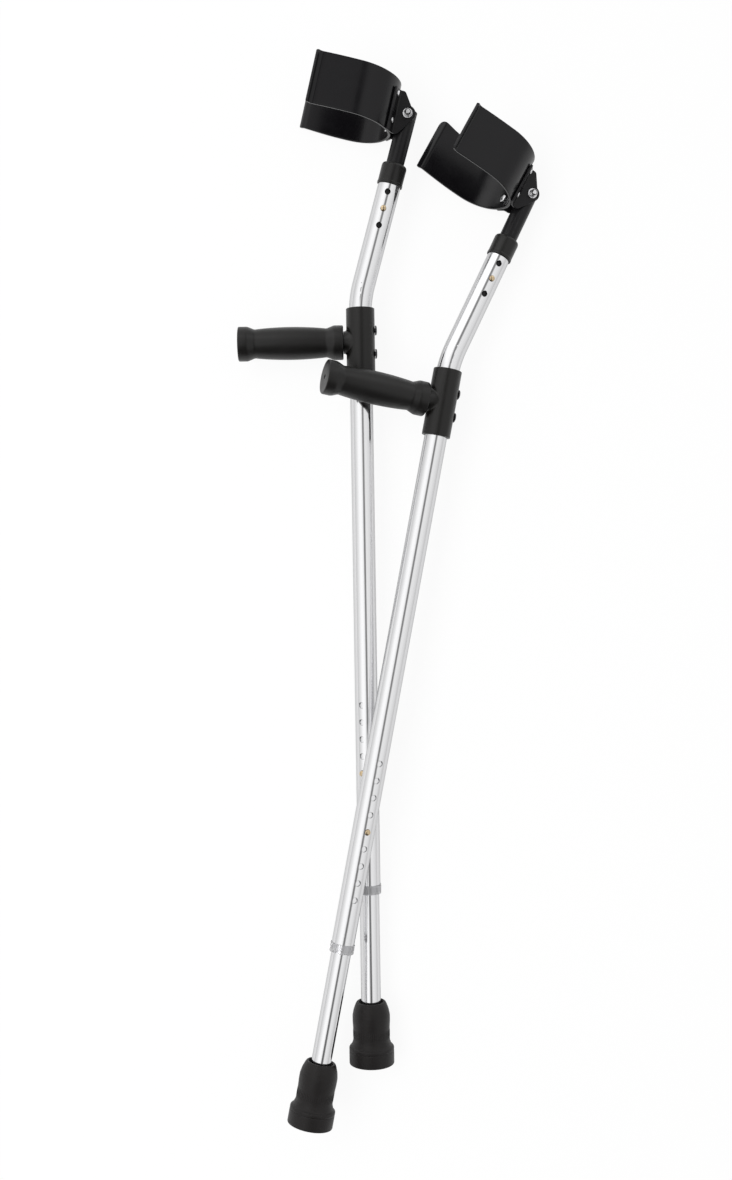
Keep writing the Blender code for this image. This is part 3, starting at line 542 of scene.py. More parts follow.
FINISHES = (
    # The polished tube gets painted shade along its turned-away edges.
    Finish("polished_tube", "polished_aluminium", (0.90, 0.90, 0.91), 0.10, 1.0,
           edge_tint=0.72, painted_edge_shade=0.76, pattern=Pattern.STREAK,
           scale=1.6, depth=0.05, shade=0.04, spread=0.05),
    Finish("black_coated_steel", "black_coat", (0.0075, 0.0072, 0.0080), 0.34, specular=0.24,
           scale=700.0, depth=0.10, shade=0.25, spread=0.08,
           wear=0.30, worn=(0.07, 0.07, 0.075)),
    Finish("black_cuff_plastic", "black_plastic", (0.0050, 0.0046, 0.0056), 0.22, specular=0.30,
           scale=1500.0, depth=0.05, shade=0.2, spread=0.07,
           wear=0.05, worn=(0.03, 0.03, 0.033), dust=0.012),
    Finish("black_hub_plastic", "black_plastic", (0.0058, 0.0053, 0.0048), 0.33, specular=0.38,
           scale=1300.0, depth=0.10, shade=0.25, spread=0.08,
           wear=0.2, worn=(0.06, 0.06, 0.06), dust=0.02),
    Finish("moulded_grip", "soft_grip", (0.0060, 0.0055, 0.0052), 0.37, specular=0.38,
           scale=1100.0, depth=0.18, shade=0.25, spread=0.10, dust=0.03),
    Finish("tip_rubber", "black_rubber", (0.0108, 0.0094, 0.0092), 0.48, specular=0.26,
           scale=800.0, depth=0.25, shade=0.3, spread=0.10,
           wear=0.2, worn=(0.06, 0.06, 0.06), dust=0.05),
    Finish("cloudy_ring", "grey_plastic", (0.82, 0.82, 0.83), 0.30, transmission=0.76,
           scale=500.0, depth=0.05, shade=0.06, spread=0.06),
    Finish("snap_brass", "brass", (0.68, 0.53, 0.34), 0.16, 1.0,
           scale=900.0, depth=0.06, shade=0.12, spread=0.06),
    Finish("zinc_plate", "bright_zinc", (0.82, 0.82, 0.83), 0.24, 1.0,
           scale=1200.0, depth=0.10, shade=0.12, spread=0.12),
    Finish("blackened_screw", "dark_steel", (0.035, 0.035, 0.038), 0.38, 0.6,
           scale=1200.0, depth=0.12, shade=0.2, spread=0.10,
           wear=0.5, worn=(0.3, 0.3, 0.3)),
    Finish("spring_strip", "spring_steel", (0.45, 0.45, 0.47), 0.30, 1.0,
           scale=900.0, depth=0.05, shade=0.15, spread=0.10),
)


# Shapes


def curve_point(start: Vector, corner: Vector, end: Vector, share: float) -> Vector:
    """A point on the curve that leaves start and reaches end along the sides of a corner."""
    return start.lerp(corner, share).lerp(corner.lerp(end, share), share)


def soften(profile: Profile, radius: float, steps: int = 4, closed: bool = False) -> Profile:
    """Round the corners of a flat outline.

    Args:
        profile: The outline's points.
        radius: How far back from each corner the rounding starts.
        steps: How many pieces each rounding has.
        closed: Whether the outline's last point joins its first.

    Returns:
        The rounded outline.
    """
    points = [Vector(point) for point in profile]
    rounded = []
    for index, corner in enumerate(points):
        if not closed and index in (0, len(points) - 1):
            rounded.append(corner)
            continue
        before = points[index - 1] - corner
        after = points[(index + 1) % len(points)] - corner
        start = corner + before.normalized() * min(radius, before.length * CORNER_SHARE)
        end = corner + after.normalized() * min(radius, after.length * CORNER_SHARE)
        rounded += [curve_point(start, corner, end, step / steps) for step in range(steps + 1)]
    return [(point.x, point.y) for point in rounded]


def circle(radius: float, sides: int) -> list[Pair]:
    """Points spaced evenly round a flat circle."""
    turns = [2 * math.pi * index / sides for index in range(sides)]
    return [(radius * math.cos(turn), radius * math.sin(turn)) for turn in turns]


def arc(centre: Pair, radius: float, start: float, end: float, steps: int) -> list[Vector]:
    """Points on a flat arc, both ends included.

    Args:
        centre: The arc's centre.
        radius: Its radius.
        start: The angle at its first point.
        end: The angle at its last point.
        steps: How many pieces it has.

    Returns:
        The arc's points.
    """
    turns = [start + (end - start) * step / steps for step in range(steps + 1)]
    return [Vector(centre) + Vector((math.cos(turn), math.sin(turn))) * radius for turn in turns]


def dome(radius: float, base: float, height: float, steps: int = 10) -> Profile:
    """A domed head's profile, from its rim to its crown on the axis.

    Args:
        radius: The head's radius.
        base: Where its rim stands on the axis.
        height: How far the crown stands over the rim.
        steps: How many pieces the profile has.

    Returns:
        The profile's points.
    """
    turns = [QUARTER * step / steps for step in range(steps + 1)]
    return [(radius * math.cos(turn), base + height * math.sin(turn)) for turn in turns]


def rod(radius: float, low: float, high: float) -> Profile:
    """A plain round bar's profile."""
    return [(0.0, low), (radius, low), (radius, high), (0.0, high)]


def lathe(profile: Profile, sides: int = ROUND_SIDES, ring: bool = False) -> Bmesh:
    """Spin a profile round Z.

    Args:
        profile: The profile's points.
        sides: How many facets the turned body has.
        ring: Whether the profile closes on itself, as a washer's does.

    Returns:
        The turned body.
    """
    bm = bmesh.new()
    points = [bm.verts.new((radius, 0.0, height)) for radius, height in profile]
    pairs = list(zip(points, points[1:]))
    if ring:
        pairs.append((points[-1], points[0]))
    geometry = points + [bm.edges.new(pair) for pair in pairs]
    bmesh.ops.spin(bm, geom=geometry, cent=(0, 0, 0), axis=(0, 0, 1),
                   angle=2 * math.pi, steps=sides, use_merge=True)
    bmesh.ops.remove_doubles(bm, verts=bm.verts, dist=MERGE)
    return bm


def skin(bm: Bmesh, rows: list[list[bmesh.types.BMVert]]) -> None:
    """Join each closed row of points to the next with quads.

    Args:
        bm: The mesh that the points are in.
        rows: The rows, all of one length.
    """
    for first, second in zip(rows, rows[1:]):
        for index, corner in enumerate(first):
            after = (index + 1) % len(first)
            bm.faces.new((corner, first[after], second[after], second[index]))


def prism(outline: list[Pair | Vector], low: float, high: float) -> Bmesh:
    """Extrude a flat outline along Z.

    Args:
        outline: The outline's points.
        low: Where the body starts.
        high: Where it ends.

    Returns:
        The body.
    """
    bm = bmesh.new()
    face = bm.faces.new([bm.verts.new((point[0], point[1], low)) for point in outline])
    made = bmesh.ops.extrude_face_region(bm, geom=[face])["geom"]
    lifted = [item for item in made if isinstance(item, bmesh.types.BMVert)]
    bmesh.ops.translate(bm, verts=lifted, vec=(0.0, 0.0, high - low))
    return bm


def offset_pair(path: list[Vector], thickness: float) -> tuple[list[Vector], list[Vector]]:
    """The two edges of a strip of even thickness along a flat path.

    Args:
        path: The points down the strip's middle.
        thickness: How thick the strip is.

    Returns:
        The points of its left edge and of its right edge.
    """
    left, right = [], []
    for index, point in enumerate(path):
        before = path[max(index - 1, 0)]
        after = path[min(index + 1, len(path) - 1)]
        come = (point - before) if index else (after - point)
        leave = (after - point) if index < len(path) - 1 else (point - before)
        come, leave = come.normalized(), leave.normalized()
        mitre = Vector((-(come.y + leave.y), come.x + leave.x)).normalized()
        reach = thickness / 2 / mitre.dot(Vector((-come.y, come.x)))
        left.append(point + mitre * reach)
        right.append(point - mitre * reach)
    return left, right


def lifted_to(height: float) -> Matrix:
    """A frame raised along Z."""
    return Matrix.Translation((0.0, 0.0, height))


def radial(height: float, turn: float = 0.0) -> Matrix:
    """A frame on the tube's axis whose Z points out to its upper side."""
    spin = Matrix.Rotation(-turn, 4, "Z") @ Matrix.Rotation(-QUARTER, 4, "X")
    return lifted_to(height) @ spin


class Form:
    """One shape while it is being made, upright and in millimetres."""

    def __init__(self, name: str, bm: Bmesh, place: Matrix | None = None) -> None:
        """Make a working object from a bmesh, which this uses up.

        Args:
            name: The shape's name.
            bm: Its geometry.
            place: Where it stands in the crutch's frame.
        """
        bmesh.ops.recalc_face_normals(bm, faces=bm.faces)
        if place is not None:
            bm.transform(place)
        mesh = bpy.data.meshes.new(name)
        bm.to_mesh(mesh)
        bm.free()
        self.item = bpy.data.objects.new(name, mesh)
        bpy.context.scene.collection.objects.link(self.item)

    def bake(self) -> Form:
        """Apply the modifiers that the shape carries.

        Returns:
            The shape itself.
        """
        bpy.context.view_layer.update()
        graph = bpy.context.evaluated_depsgraph_get()
        mesh = bpy.data.meshes.new_from_object(self.item.evaluated_get(graph), depsgraph=graph)
        self.item.modifiers.clear()
        self.item.data = mesh
        return self

    def boolean(self, operation: str, *tools: Form) -> Form:
        """Cut, join or trim the shape with others, which this uses up.

        Args:
            operation: DIFFERENCE, UNION or INTERSECT.
            *tools: The other shapes.

        Returns:
            The shape itself.
        """
        for tool in tools:
            modifier = self.item.modifiers.new("boolean", "BOOLEAN")
            modifier.operation = operation
            modifier.object = tool.item
        self.bake()
        for tool in tools:
            tool.drop()
        return self

    def bevel(self, width: float, segments: int = 3) -> Form:
        """Round the shape's sharp edges.

        Args:
            width: How wide the rounding is.
            segments: How many facets it has.

        Returns:
            The shape itself.
        """
        modifier = self.item.modifiers.new("bevel", "BEVEL")
        modifier.width = width
        modifier.segments = segments
        modifier.limit_method = "ANGLE"
        modifier.angle_limit = CREASE
        modifier.use_clamp_overlap = True
        return self.bake()

    def grow(self, tree: Tree, **inputs: object) -> Form:
        """Run a geometry tree over the shape and keep its result.

        Args:
            tree: The geometry tree.
            **inputs: Its inputs, named in lower case.

        Returns:
            The shape itself.
        """
        modifier = self.item.modifiers.new("grow", "NODES")
        modifier.node_group = tree
        named = {label.title(): value for label, value in inputs.items()}
        for socket in tree.interface.items_tree:
            if socket.in_out == "INPUT" and socket.name in named:
                modifier[socket.identifier] = named[socket.name]
        return self.bake()

    def drop(self) -> None:
        """Remove the working object."""
        bpy.data.objects.remove(self.item, do_unlink=True)


# Geometry trees


@dataclass
class GeometryTrees:
    """The geometry trees that repeat or sweep a shape."""

    rib_facets: tuple[int, int] = (8, 10)
    sweep: Tree = field(init=False)
    studs: Tree = field(init=False)
    ribs: Tree = field(init=False)

    def __post_init__(self) -> None:
        """Build each tree once."""
        self.sweep = self.build_sweep()
        self.studs = self.build_studs()
        self.ribs = self.build_ribs()

    @staticmethod
    def open_tree(name: str, takes: dict) -> tuple[Tree, bpy.types.NodeOutputs, Node]:
        """Start a tree that takes a geometry, the given inputs and a material.

        Args:
            name: The tree's name.
            takes: Its other inputs, with (socket type, default value or None).

        Returns:
            The tree, the sockets of its inputs and its output node.
        """
        takes = {"Geometry": (GEOMETRY, None), **takes, "Material": (MATERIAL, None)}
        tree, start, end = open_group(name, "GeometryNodeTree", takes, {"Geometry": GEOMETRY})
        return tree, start.outputs, end

    @staticmethod
    def join(tree: Tree, first: Socket, second: Socket) -> Socket:
        """Two geometries as one."""
        both = put(tree, "GeometryNodeJoinGeometry", {0: first})
        tree.links.new(second, both.inputs[0])
        return both.outputs[0]

    @staticmethod
    def close(tree: Tree, end: Node, geometry: Socket, material: Socket) -> Tree:
        """End a tree with Realize Instances and Set Material.

        Args:
            tree: The tree.
            end: Its output node.
            geometry: What it has made.
            material: What that is dressed with.

        Returns:
            The tree.
        """
        real = put(tree, "GeometryNodeRealizeInstances", {0: geometry}).outputs[0]
        dress = {"Geometry": real, "Material": material}
        feed(tree, end, {0: put(tree, "GeometryNodeSetMaterial", dress).outputs[0]})
        return tree

    def build_sweep(self) -> Tree:
        """A round tube with a wall, swept along the mesh's line.

        Returns:
            The tree.
        """
        tree, given, end = self.open_tree("swept_tube", {
            "Radius": (FLOAT, 12.7),
            "Bore": (FLOAT, 11.5),
            "Sides": (INTEGER, ROUND_SIDES),
        })
        line = put(tree, "GeometryNodeMeshToCurve", {0: given["Geometry"]}).outputs[0]
        skins = []
        for label in ("Radius", "Bore"):
            sizes = {"Resolution": given["Sides"], "Radius": given[label]}
            ring = put(tree, "GeometryNodeCurvePrimitiveCircle", sizes).outputs[0]
            swept = {"Curve": line, "Profile Curve": ring}
            skins.append(put(tree, "GeometryNodeCurveToMesh", swept).outputs[0])
        inner = put(tree, "GeometryNodeFlipFaces", {0: skins[1]}).outputs[0]
        return self.close(tree, end, self.join(tree, skins[0], inner), given["Material"])

    def build_studs(self) -> Tree:
        """A copy of one stud at each point, aimed by the point's own direction.

        Returns:
            The tree.
        """
        tree, given, end = self.open_tree("stud_set", {"Stud": (OBJECT, None)})
        stud = put(tree, "GeometryNodeObjectInfo", {"Object": given["Stud"]})
        aim = put(tree, "GeometryNodeInputNamedAttribute", {"Name": AIM}, data_type="FLOAT_VECTOR")
        turn = put(tree, "FunctionNodeAlignRotationToVector", {"Vector": aim.outputs[0]}, axis="Z")
        copies = put(tree, "GeometryNodeInstanceOnPoints", {
            "Points": given["Geometry"],
            "Instance": stud.outputs["Geometry"],
            "Rotation": turn.outputs[0],
        })
        return self.close(tree, end, copies.outputs[0], given["Material"])

    def build_ribs(self) -> Tree:
        """Slim upright ribs set evenly round a turned body.

        Returns:
            The tree.
        """
        tree, given, end = self.open_tree("rib_ring", {
            "Count": (INTEGER, 48),
            "Radius": (FLOAT, 20.0),
            "Middle": (FLOAT, 30.0),
            "Width": (FLOAT, 0.5),
            "Length": (FLOAT, 16.0),
        })
        ring = {"Vertices": given["Count"], "Radius": given["Radius"]}
        ring = put(tree, "GeometryNodeMeshCircle", ring).outputs[0]
        lift = put(tree, "ShaderNodeCombineXYZ", {2: given["Middle"]}).outputs[0]
        raised = {"Geometry": ring, "Translation": lift}
        raised = put(tree, "GeometryNodeTransform", raised).outputs[0]
        segments, rings = self.rib_facets
        ball = {"Segments": segments, "Rings": rings, "Radius": 0.5}
        ball = put(tree, "GeometryNodeMeshUVSphere", ball).outputs[0]
        size = {0: given["Width"], 1: given["Width"], 2: given["Length"]}
        size = put(tree, "ShaderNodeCombineXYZ", size).outputs[0]
        rib = put(tree, "GeometryNodeTransform", {"Geometry": ball, "Scale": size}).outputs[0]
        copies = put(tree, "GeometryNodeInstanceOnPoints", {"Points": raised, "Instance": rib})
        both = self.join(tree, given["Geometry"], copies.outputs[0])
        return self.close(tree, end, both, given["Material"])


class Shop:
    """Holds the finishes and trees, and hands each finished piece to its body."""

    def __init__(self) -> None:
        """Build the shared groups, finishes and trees."""
        groups = SurfaceGroups()
        self.finishes = {finish.name: finish for finish in FINISHES}
        self.materials = {finish.name: finish.build(groups) for finish in FINISHES}
        self.trees = GeometryTrees()

    def deliver(self, form: Form, place: Matrix, finish: str, body: str,
                *nodes: str) -> bpy.types.Object:
        """Lay a finished shape down in place of the nodes that it stands for.

        Args:
            form: The shape, in millimetres.
            place: The frame that it stands in.
            finish: The name of its finish.
            body: The body that it rides on.
            *nodes: The nodes that it stands for.

        Returns:
            The finished piece.
        """
        piece = form.item
        mesh = piece.data
        mesh.transform(place)
        mesh.materials.clear()
        mesh.materials.append(self.materials[finish])
        mesh.shade_smooth()
        mesh.set_sharp_from_angle(angle=CREASE)
        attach(piece, body)
        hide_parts(*nodes)
        LOG.info("%s: %d faces on %s", piece.name, len(mesh.polygons), body)
        return piece

    def stud_set(self, name: str, stud: Form, places: list[Matrix], finish: str) -> Form:
        """Repeat one stud at several frames, each with Z along the stud.

        Args:
            name: The set's name.
            stud: The stud, which this uses up.
            places: The studs' frames.
            finish: The name of their finish.

        Returns:
            All the studs as one shape.
        """
        bm = bmesh.new()
        for place in places:
            bm.verts.new(place.translation)
        points = Form(name, bm)
        aims = points.item.data.attributes.new(AIM, "FLOAT_VECTOR", "POINT")
        for index, place in enumerate(places):
            aims.data[index].vector = place.to_3x3() @ Vector((0.0, 0.0, 1.0))
        points.grow(self.trees.studs, stud=stud.item, material=self.materials[finish])
        stud.drop()
        return points


# The crutch's sub-assemblies


@dataclass
class SubAssembly:
    """One sub-assembly of one crutch: what it is made with and where it lies."""

    shop: Shop
    lay: Lay

    def hollow(self, name: str, profile: Profile, rounding: float,
               sides: int = ROUND_SIDES) -> Form:
        """Turn a ring-shaped piece, with its edges broken.

        Args:
            name: The piece's name, without its side.
            profile: The outline of its wall.
            rounding: How far each edge is rounded.
            sides: How many facets it has.

        Returns:
            The piece's shape.
        """
        outline = soften(profile, rounding, closed=True)
        return Form(self.lay.node(name), lathe(outline, sides, ring=True))

    def solid(self, name: str, profile: Profile, sides: int = SMALL_SIDES) -> Form:
        """A piece turned from a profile that starts and ends on its axis."""
        return Form(self.lay.node(name), lathe(profile, sides))

    def deliver(self, form: Form, place: Matrix, finish: str, body: str,
                *nodes: str) -> bpy.types.Object:
        """Lay a finished shape down, with this crutch's names for body and nodes.

        Args:
            form: The shape, in millimetres.
            place: The frame that it stands in.
            finish: The name of its finish.
            body: The body that it rides on, without its side.
            *nodes: The nodes that it stands for, without their side.

        Returns:
            The finished piece.
        """
        body = body if body == ROOT_BODY else self.lay.node(body)
        return self.shop.deliver(form, place, finish, body, *map(self.lay.node, nodes))


@dataclass
class TubeSet(SubAssembly):
    """The bent main tube, the leg that slides in it, and the ring between them."""

    radius: float = 12.7
    wall: float = 1.2
    slide_gap: float = 0.4
    leg_wall: float = 1.4
    foot: float = 196.6
    bend_height: float = 858.5
    bend_angle: float = math.radians(15.5)
    bend_radius: float = 125.0
    forearm_length: float = 149.4
    bend_steps: int = 32
    hole_radius: float = 3.3
    hole_edge: float = 0.35
    hole_pitch: float = 19.05
    leg_holes: int = 9
    leg_first_hole: float = 405.5
    post_holes: int = 3
    post_first_hole: float = 120.4
    leg_top: float = 420.0
    leg_foot: float = 14.2
    leg_rounding: float = 0.3
    ring_wall: float = 0.45
    ring_height: float = 10.0
    ring_lip: float = 3.4
    ring_rounding: float = 0.4
    button_gap: float = 0.3
    button_proud: float = 2.4
    button_dome: float = 1.1
    leaf_half: float = 3.0
    past_end: float = 0.05
    skin_depth: float = 0.1
    skin_turn: float = 0.9

    @property
    def bore(self) -> float:
        """The main tube's inner radius."""
        return self.radius - self.wall

    @property
    def leg_radius(self) -> float:
        """The leg tube's outer radius."""
        return self.bore - self.slide_gap

    @property
    def leg_bore(self) -> float:
        """The leg tube's inner radius."""
        return self.leg_radius - self.leg_wall

    def forearm(self) -> Matrix:
        """The frame of the tilted upper length, from the bend."""
        return lifted_to(self.bend_height) @ Matrix.Rotation(-self.bend_angle, 4, "Y")

    def leg_hole(self, index: int) -> Matrix:
        """The frame of one of the leg's holes, counted down from the top one."""
        turn = LEG_HOLE_TURN[self.lay.side]
        return radial(self.leg_first_hole - index * self.hole_pitch, turn)

    def post_hole(self, index: int) -> Matrix:
        """The frame of one of the post's holes on the forearm, counted down."""
        turn = POST_HOLE_TURN[self.lay.side]
        return radial(self.post_first_hole - index * self.hole_pitch, turn)

    def leg_button_place(self) -> Matrix:
        """The frame of the leg's button, in the middle hole."""
        return self.leg_hole(self.leg_holes // 2)

    def post_button_place(self) -> Matrix:
        """The frame of the post's button on the forearm, in the middle hole."""
        return self.post_hole(self.post_holes // 2)

    def centreline(self) -> list[Vector]:
        """Points down the middle of the main tube.

        Returns:
            The points, from the foot up.
        """
        reach = self.bend_radius * math.tan(self.bend_angle / 2)
        points = [Vector((0.0, 0.0, self.foot))]
        for step in range(self.bend_steps + 1):
            angle = self.bend_angle * step / self.bend_steps
            across = -self.bend_radius * (1 - math.cos(angle))
            along = self.bend_height - reach + self.bend_radius * math.sin(angle)
            points.append(Vector((across, 0.0, along)))
        points.append(self.forearm() @ Vector((0.0, 0.0, self.forearm_length)))
        return points

    def drill(self, name: str, outer: float, places: list[Matrix]) -> Form:
        """Cutters for snap holes, flared at the skin so that each edge is broken.

        Args:
            name: The cutters' name.
            outer: The outer radius of the tube that they cut.
            places: The holes' frames, Z pointing out.

        Returns:
            All the cutters as one shape.
        """
        radius, edge = self.hole_radius, self.hole_edge
        profile = [
            (0.0, outer / 2),
            (radius, outer / 2),
            (radius, outer - edge),
            (radius + 3 * edge, outer + 2 * edge),
            (0.0, outer + 2 * edge),
        ]
        bm = bmesh.new()
        for place in places:
            cutter = lathe(profile, SMALL_SIDES)
            bmesh.ops.recalc_face_normals(cutter, faces=cutter.faces)
            cutter.transform(place)
            mesh = bpy.data.meshes.new(name)
            cutter.to_mesh(mesh)
            cutter.free()
            bm.from_mesh(mesh)
            bpy.data.meshes.remove(mesh)
        return Form(name, bm)

    def polish(self, piece: bpy.types.Object, line: list[Vector], outer: float) -> None:
        """Give a tube its true round normals and the pattern's lengthwise places.

        Args:
            piece: The tube, laid down.
            line: The tube's centreline, upright in millimetres.
            outer: The tube's outer radius.
        """
        mesh = piece.data
        points = np.array([vertex.co for vertex in mesh.vertices])
        back = np.array(self.lay.crutch.inverted())
        local = points @ back[:3, :3].T + back[:3, 3]
        nodes = np.array(line)
        best = np.full(len(local), np.inf)
        axis_point = np.zeros_like(local)
        travel = np.zeros(len(local))
        covered = 0.0
        for start, end in zip(nodes, nodes[1:]):
            step = end - start
            length = np.linalg.norm(step)
            share = (local - start) @ step / length**2
            share = np.clip(share, -self.past_end, 1.0 + self.past_end)
            near = start + share[:, None] * step
            gap = np.linalg.norm(local - near, axis=1)
            closer = gap < best
            best[closer] = gap[closer]
            axis_point[closer] = near[closer]
            travel[closer] = covered + share[closer] * length
            covered += length
        out = (local - axis_point) / np.maximum(best, MERGE)[:, None]
        across = np.column_stack((local[:, 0] - axis_point[:, 0], local[:, 1], travel))
        attribute = mesh.attributes.new(ALONG, "FLOAT_VECTOR", "POINT")
        attribute.data.foreach_set("vector", across.astype(np.float32).ravel())
        out = out @ np.array(self.lay.crutch.to_3x3().normalized()).T
        normals = [Vector((0.0, 0.0, 0.0))] * len(mesh.loops)
        for face in mesh.polygons:
            for loop in face.loop_indices:
                vertex = mesh.loops[loop].vertex_index
                true_normal = Vector(out[vertex])
                on_skin = best[vertex] > outer - self.skin_depth
                if on_skin and face.normal.dot(true_normal) > self.skin_turn:
                    normals[loop] = true_normal
        mesh.normals_split_custom_set(normals)

    def build(self) -> None:
        """Build both tubes, the ring and the snap buttons of one crutch."""
        self.build_main()
        self.build_leg()
        self.build_ring()
        leg_place = self.lay.crutch @ self.leg_button_place()
        self.build_button("leg", leg_place, self.leg_bore)
        post_place = self.lay.forearm @ self.post_button_place()
        self.build_button("post", post_place, PostSet.radius - PostSet.wall)

    def build_main(self) -> None:
        """The main tube, swept along its centreline and drilled."""
        line = self.centreline()
        bm = bmesh.new()
        points = [bm.verts.new(point) for point in line]
        for pair in zip(points, points[1:]):
            bm.edges.new(pair)
        form = Form(self.lay.node("main_tube_polished"), bm)
        form.grow(self.shop.trees.sweep, radius=self.radius, bore=self.bore, sides=ROUND_SIDES,
                  material=self.shop.materials["polished_tube"])
        self.close_ends(form)
        places = [self.leg_hole(index) for index in range(self.leg_holes)]
        places += [self.forearm() @ self.post_hole(index) for index in range(self.post_holes)]
        form.boolean("DIFFERENCE", self.drill("snap_hole_drill", self.radius, places))
        piece = self.deliver(form, self.lay.crutch, "polished_tube", ROOT_BODY, "main_tube")
        self.polish(piece, line, self.radius)

    @staticmethod
    def close_ends(form: Form) -> None:
        """Bridge the outer and inner skins of a swept tube at both ends.

        Args:
            form: The tube.
        """
        bm = bmesh.new()
        bm.from_mesh(form.item.data)
        edges = [edge for edge in bm.edges if edge.is_boundary]
        middle = sum(edge.verts[0].co.z for edge in edges) / len(edges)
        for upper in (False, True):
            ends = [edge for edge in edges if (edge.verts[0].co.z >= middle) is upper]
            bmesh.ops.bridge_loops(bm, edges=ends)
        bmesh.ops.recalc_face_normals(bm, faces=bm.faces)
        bm.to_mesh(form.item.data)
        bm.free()

    def build_leg(self) -> None:
        """The leg tube, with the hole that its button stands in."""
        outer, bore = self.leg_radius, self.leg_bore
        low, high = self.leg_foot, self.leg_top
        profile = [(outer, low), (outer, high), (bore, high), (bore, low)]
        form = self.hollow("leg_tube_polished", profile, self.leg_rounding)
        form.boolean("DIFFERENCE", self.drill("leg_hole_drill", outer, [self.leg_button_place()]))
        piece = self.deliver(form, self.lay.crutch, "polished_tube", "leg", "leg_tube")
        line = [Vector((0.0, 0.0, low)), Vector((0.0, 0.0, high))]
        self.polish(piece, line, outer)

    def build_ring(self) -> None:
        """The cloudy ring that the leg runs through."""
        low = self.foot - SEAT_GAP - self.ring_lip
        high = low + self.ring_height
        inner = self.radius + SEAT_GAP
        outer = inner + self.ring_wall
        leg = self.leg_radius + SEAT_GAP
        lip = low + self.ring_lip
        profile = [(outer, low), (outer, high), (inner, high), (inner, lip), (leg, lip), (leg, low)]
        form = self.hollow("leg_collar_moulded", profile, self.ring_rounding)
        self.deliver(form, self.lay.crutch, "cloudy_ring", ROOT_BODY, "leg_collar")

    def build_button(self, word: str, place: Matrix, bore: float) -> None:
        """A brass snap button that stands on its spring in an inner tube.

        Args:
            word: Which button, leg or post.
            place: Its frame, on the tube's axis with Z pointing out.
            bore: The inner tube's inner radius.
        """
        radius = self.hole_radius - self.button_gap
        crown = self.radius + self.button_proud
        foot = math.sqrt((bore - SEAT_GAP) ** 2 - self.leaf_half**2) + SEAT_GAP
        profile = [(0.0, foot), (radius, foot)]
        profile += dome(radius, crown - self.button_dome, self.button_dome)
        form = self.solid(f"{word}_button_turned", profile)
        self.deliver(form, place, "snap_brass", f"{word}_snap", f"{word}_button")


@dataclass
class TipSet(SubAssembly):
    """The flared rubber tip."""

    base_radius: float = 25.3
    base_height: float = 19.0
    seam_drop: float = 3.6
    seam_half: float = 0.5
    seam_depth: float = 0.45
    shelf: Pair = (22.7, 21.0)
    waist_radius: float = 20.5
    waist_lead: Pair = (20.8, 26.0)
    waist: Pair = (30.0, 38.0)
    bulge_radius: float = 21.1
    bulge: Pair = (48.0, 55.0)
    shoulder: Pair = (19.8, 61.5)
    rim_radius: float = 17.4
    rim_chamfer: float = 1.4
    height: float = 70.0
    floor: float = 12.0
    socket: float = 11.45
    mouth: float = 2.2
    funnel: Pair = (1.76, 2.6)
    funnel_depth: float = 4.5
    rounding: float = 1.3
    rib_count: int = 60
    rib_middle: float = 34.5
    rib_length: float = 13.0
    rib_width: float = 0.8
    rib_sink: float = 0.1
    tread_rings: Triple = (5.0, 11.0, 17.0)
    tread_width: float = 3.0
    tread_depth: float = 1.2

    def build(self) -> None:
        """Build one tip: treads, seam line, ribbed body and open mouth."""
        profile = [(0.0, 0.0)]
        for inner in self.tread_rings:
            outer = inner + self.tread_width
            profile += [(inner, 0.0), (inner, self.tread_depth),
                        (outer, self.tread_depth), (outer, 0.0)]
        seam = self.base_height - self.seam_drop
        profile += [
            (self.base_radius, 0.0),
            (self.base_radius, seam - self.seam_half),
            (self.base_radius - self.seam_depth, seam),
            (self.base_radius, seam + self.seam_half),
            (self.base_radius, self.base_height),
            self.shelf,
            self.waist_lead,
            (self.waist_radius, self.waist[0]),
            (self.waist_radius, self.waist[1]),
            (self.bulge_radius, self.bulge[0]),
            (self.bulge_radius, self.bulge[1]),
            self.shoulder,
            (self.rim_radius, self.height - self.mouth),
            (self.rim_radius - self.rim_chamfer, self.height),
            (self.socket + self.mouth, self.height),
            (self.socket + self.funnel[0], self.height - self.funnel[1]),
            (self.socket, self.height - self.funnel_depth),
            (self.socket, self.floor),
            (0.0, self.floor),
        ]
        form = self.solid("tip_moulded", soften(profile, self.rounding), ROUND_SIDES)
        form.grow(self.shop.trees.ribs, count=self.rib_count, middle=self.rib_middle,
                  radius=self.waist_radius - self.rib_sink, width=self.rib_width,
                  length=self.rib_length, material=self.shop.materials["tip_rubber"])
        self.deliver(form, self.lay.crutch, "tip_rubber", "leg", "tip")


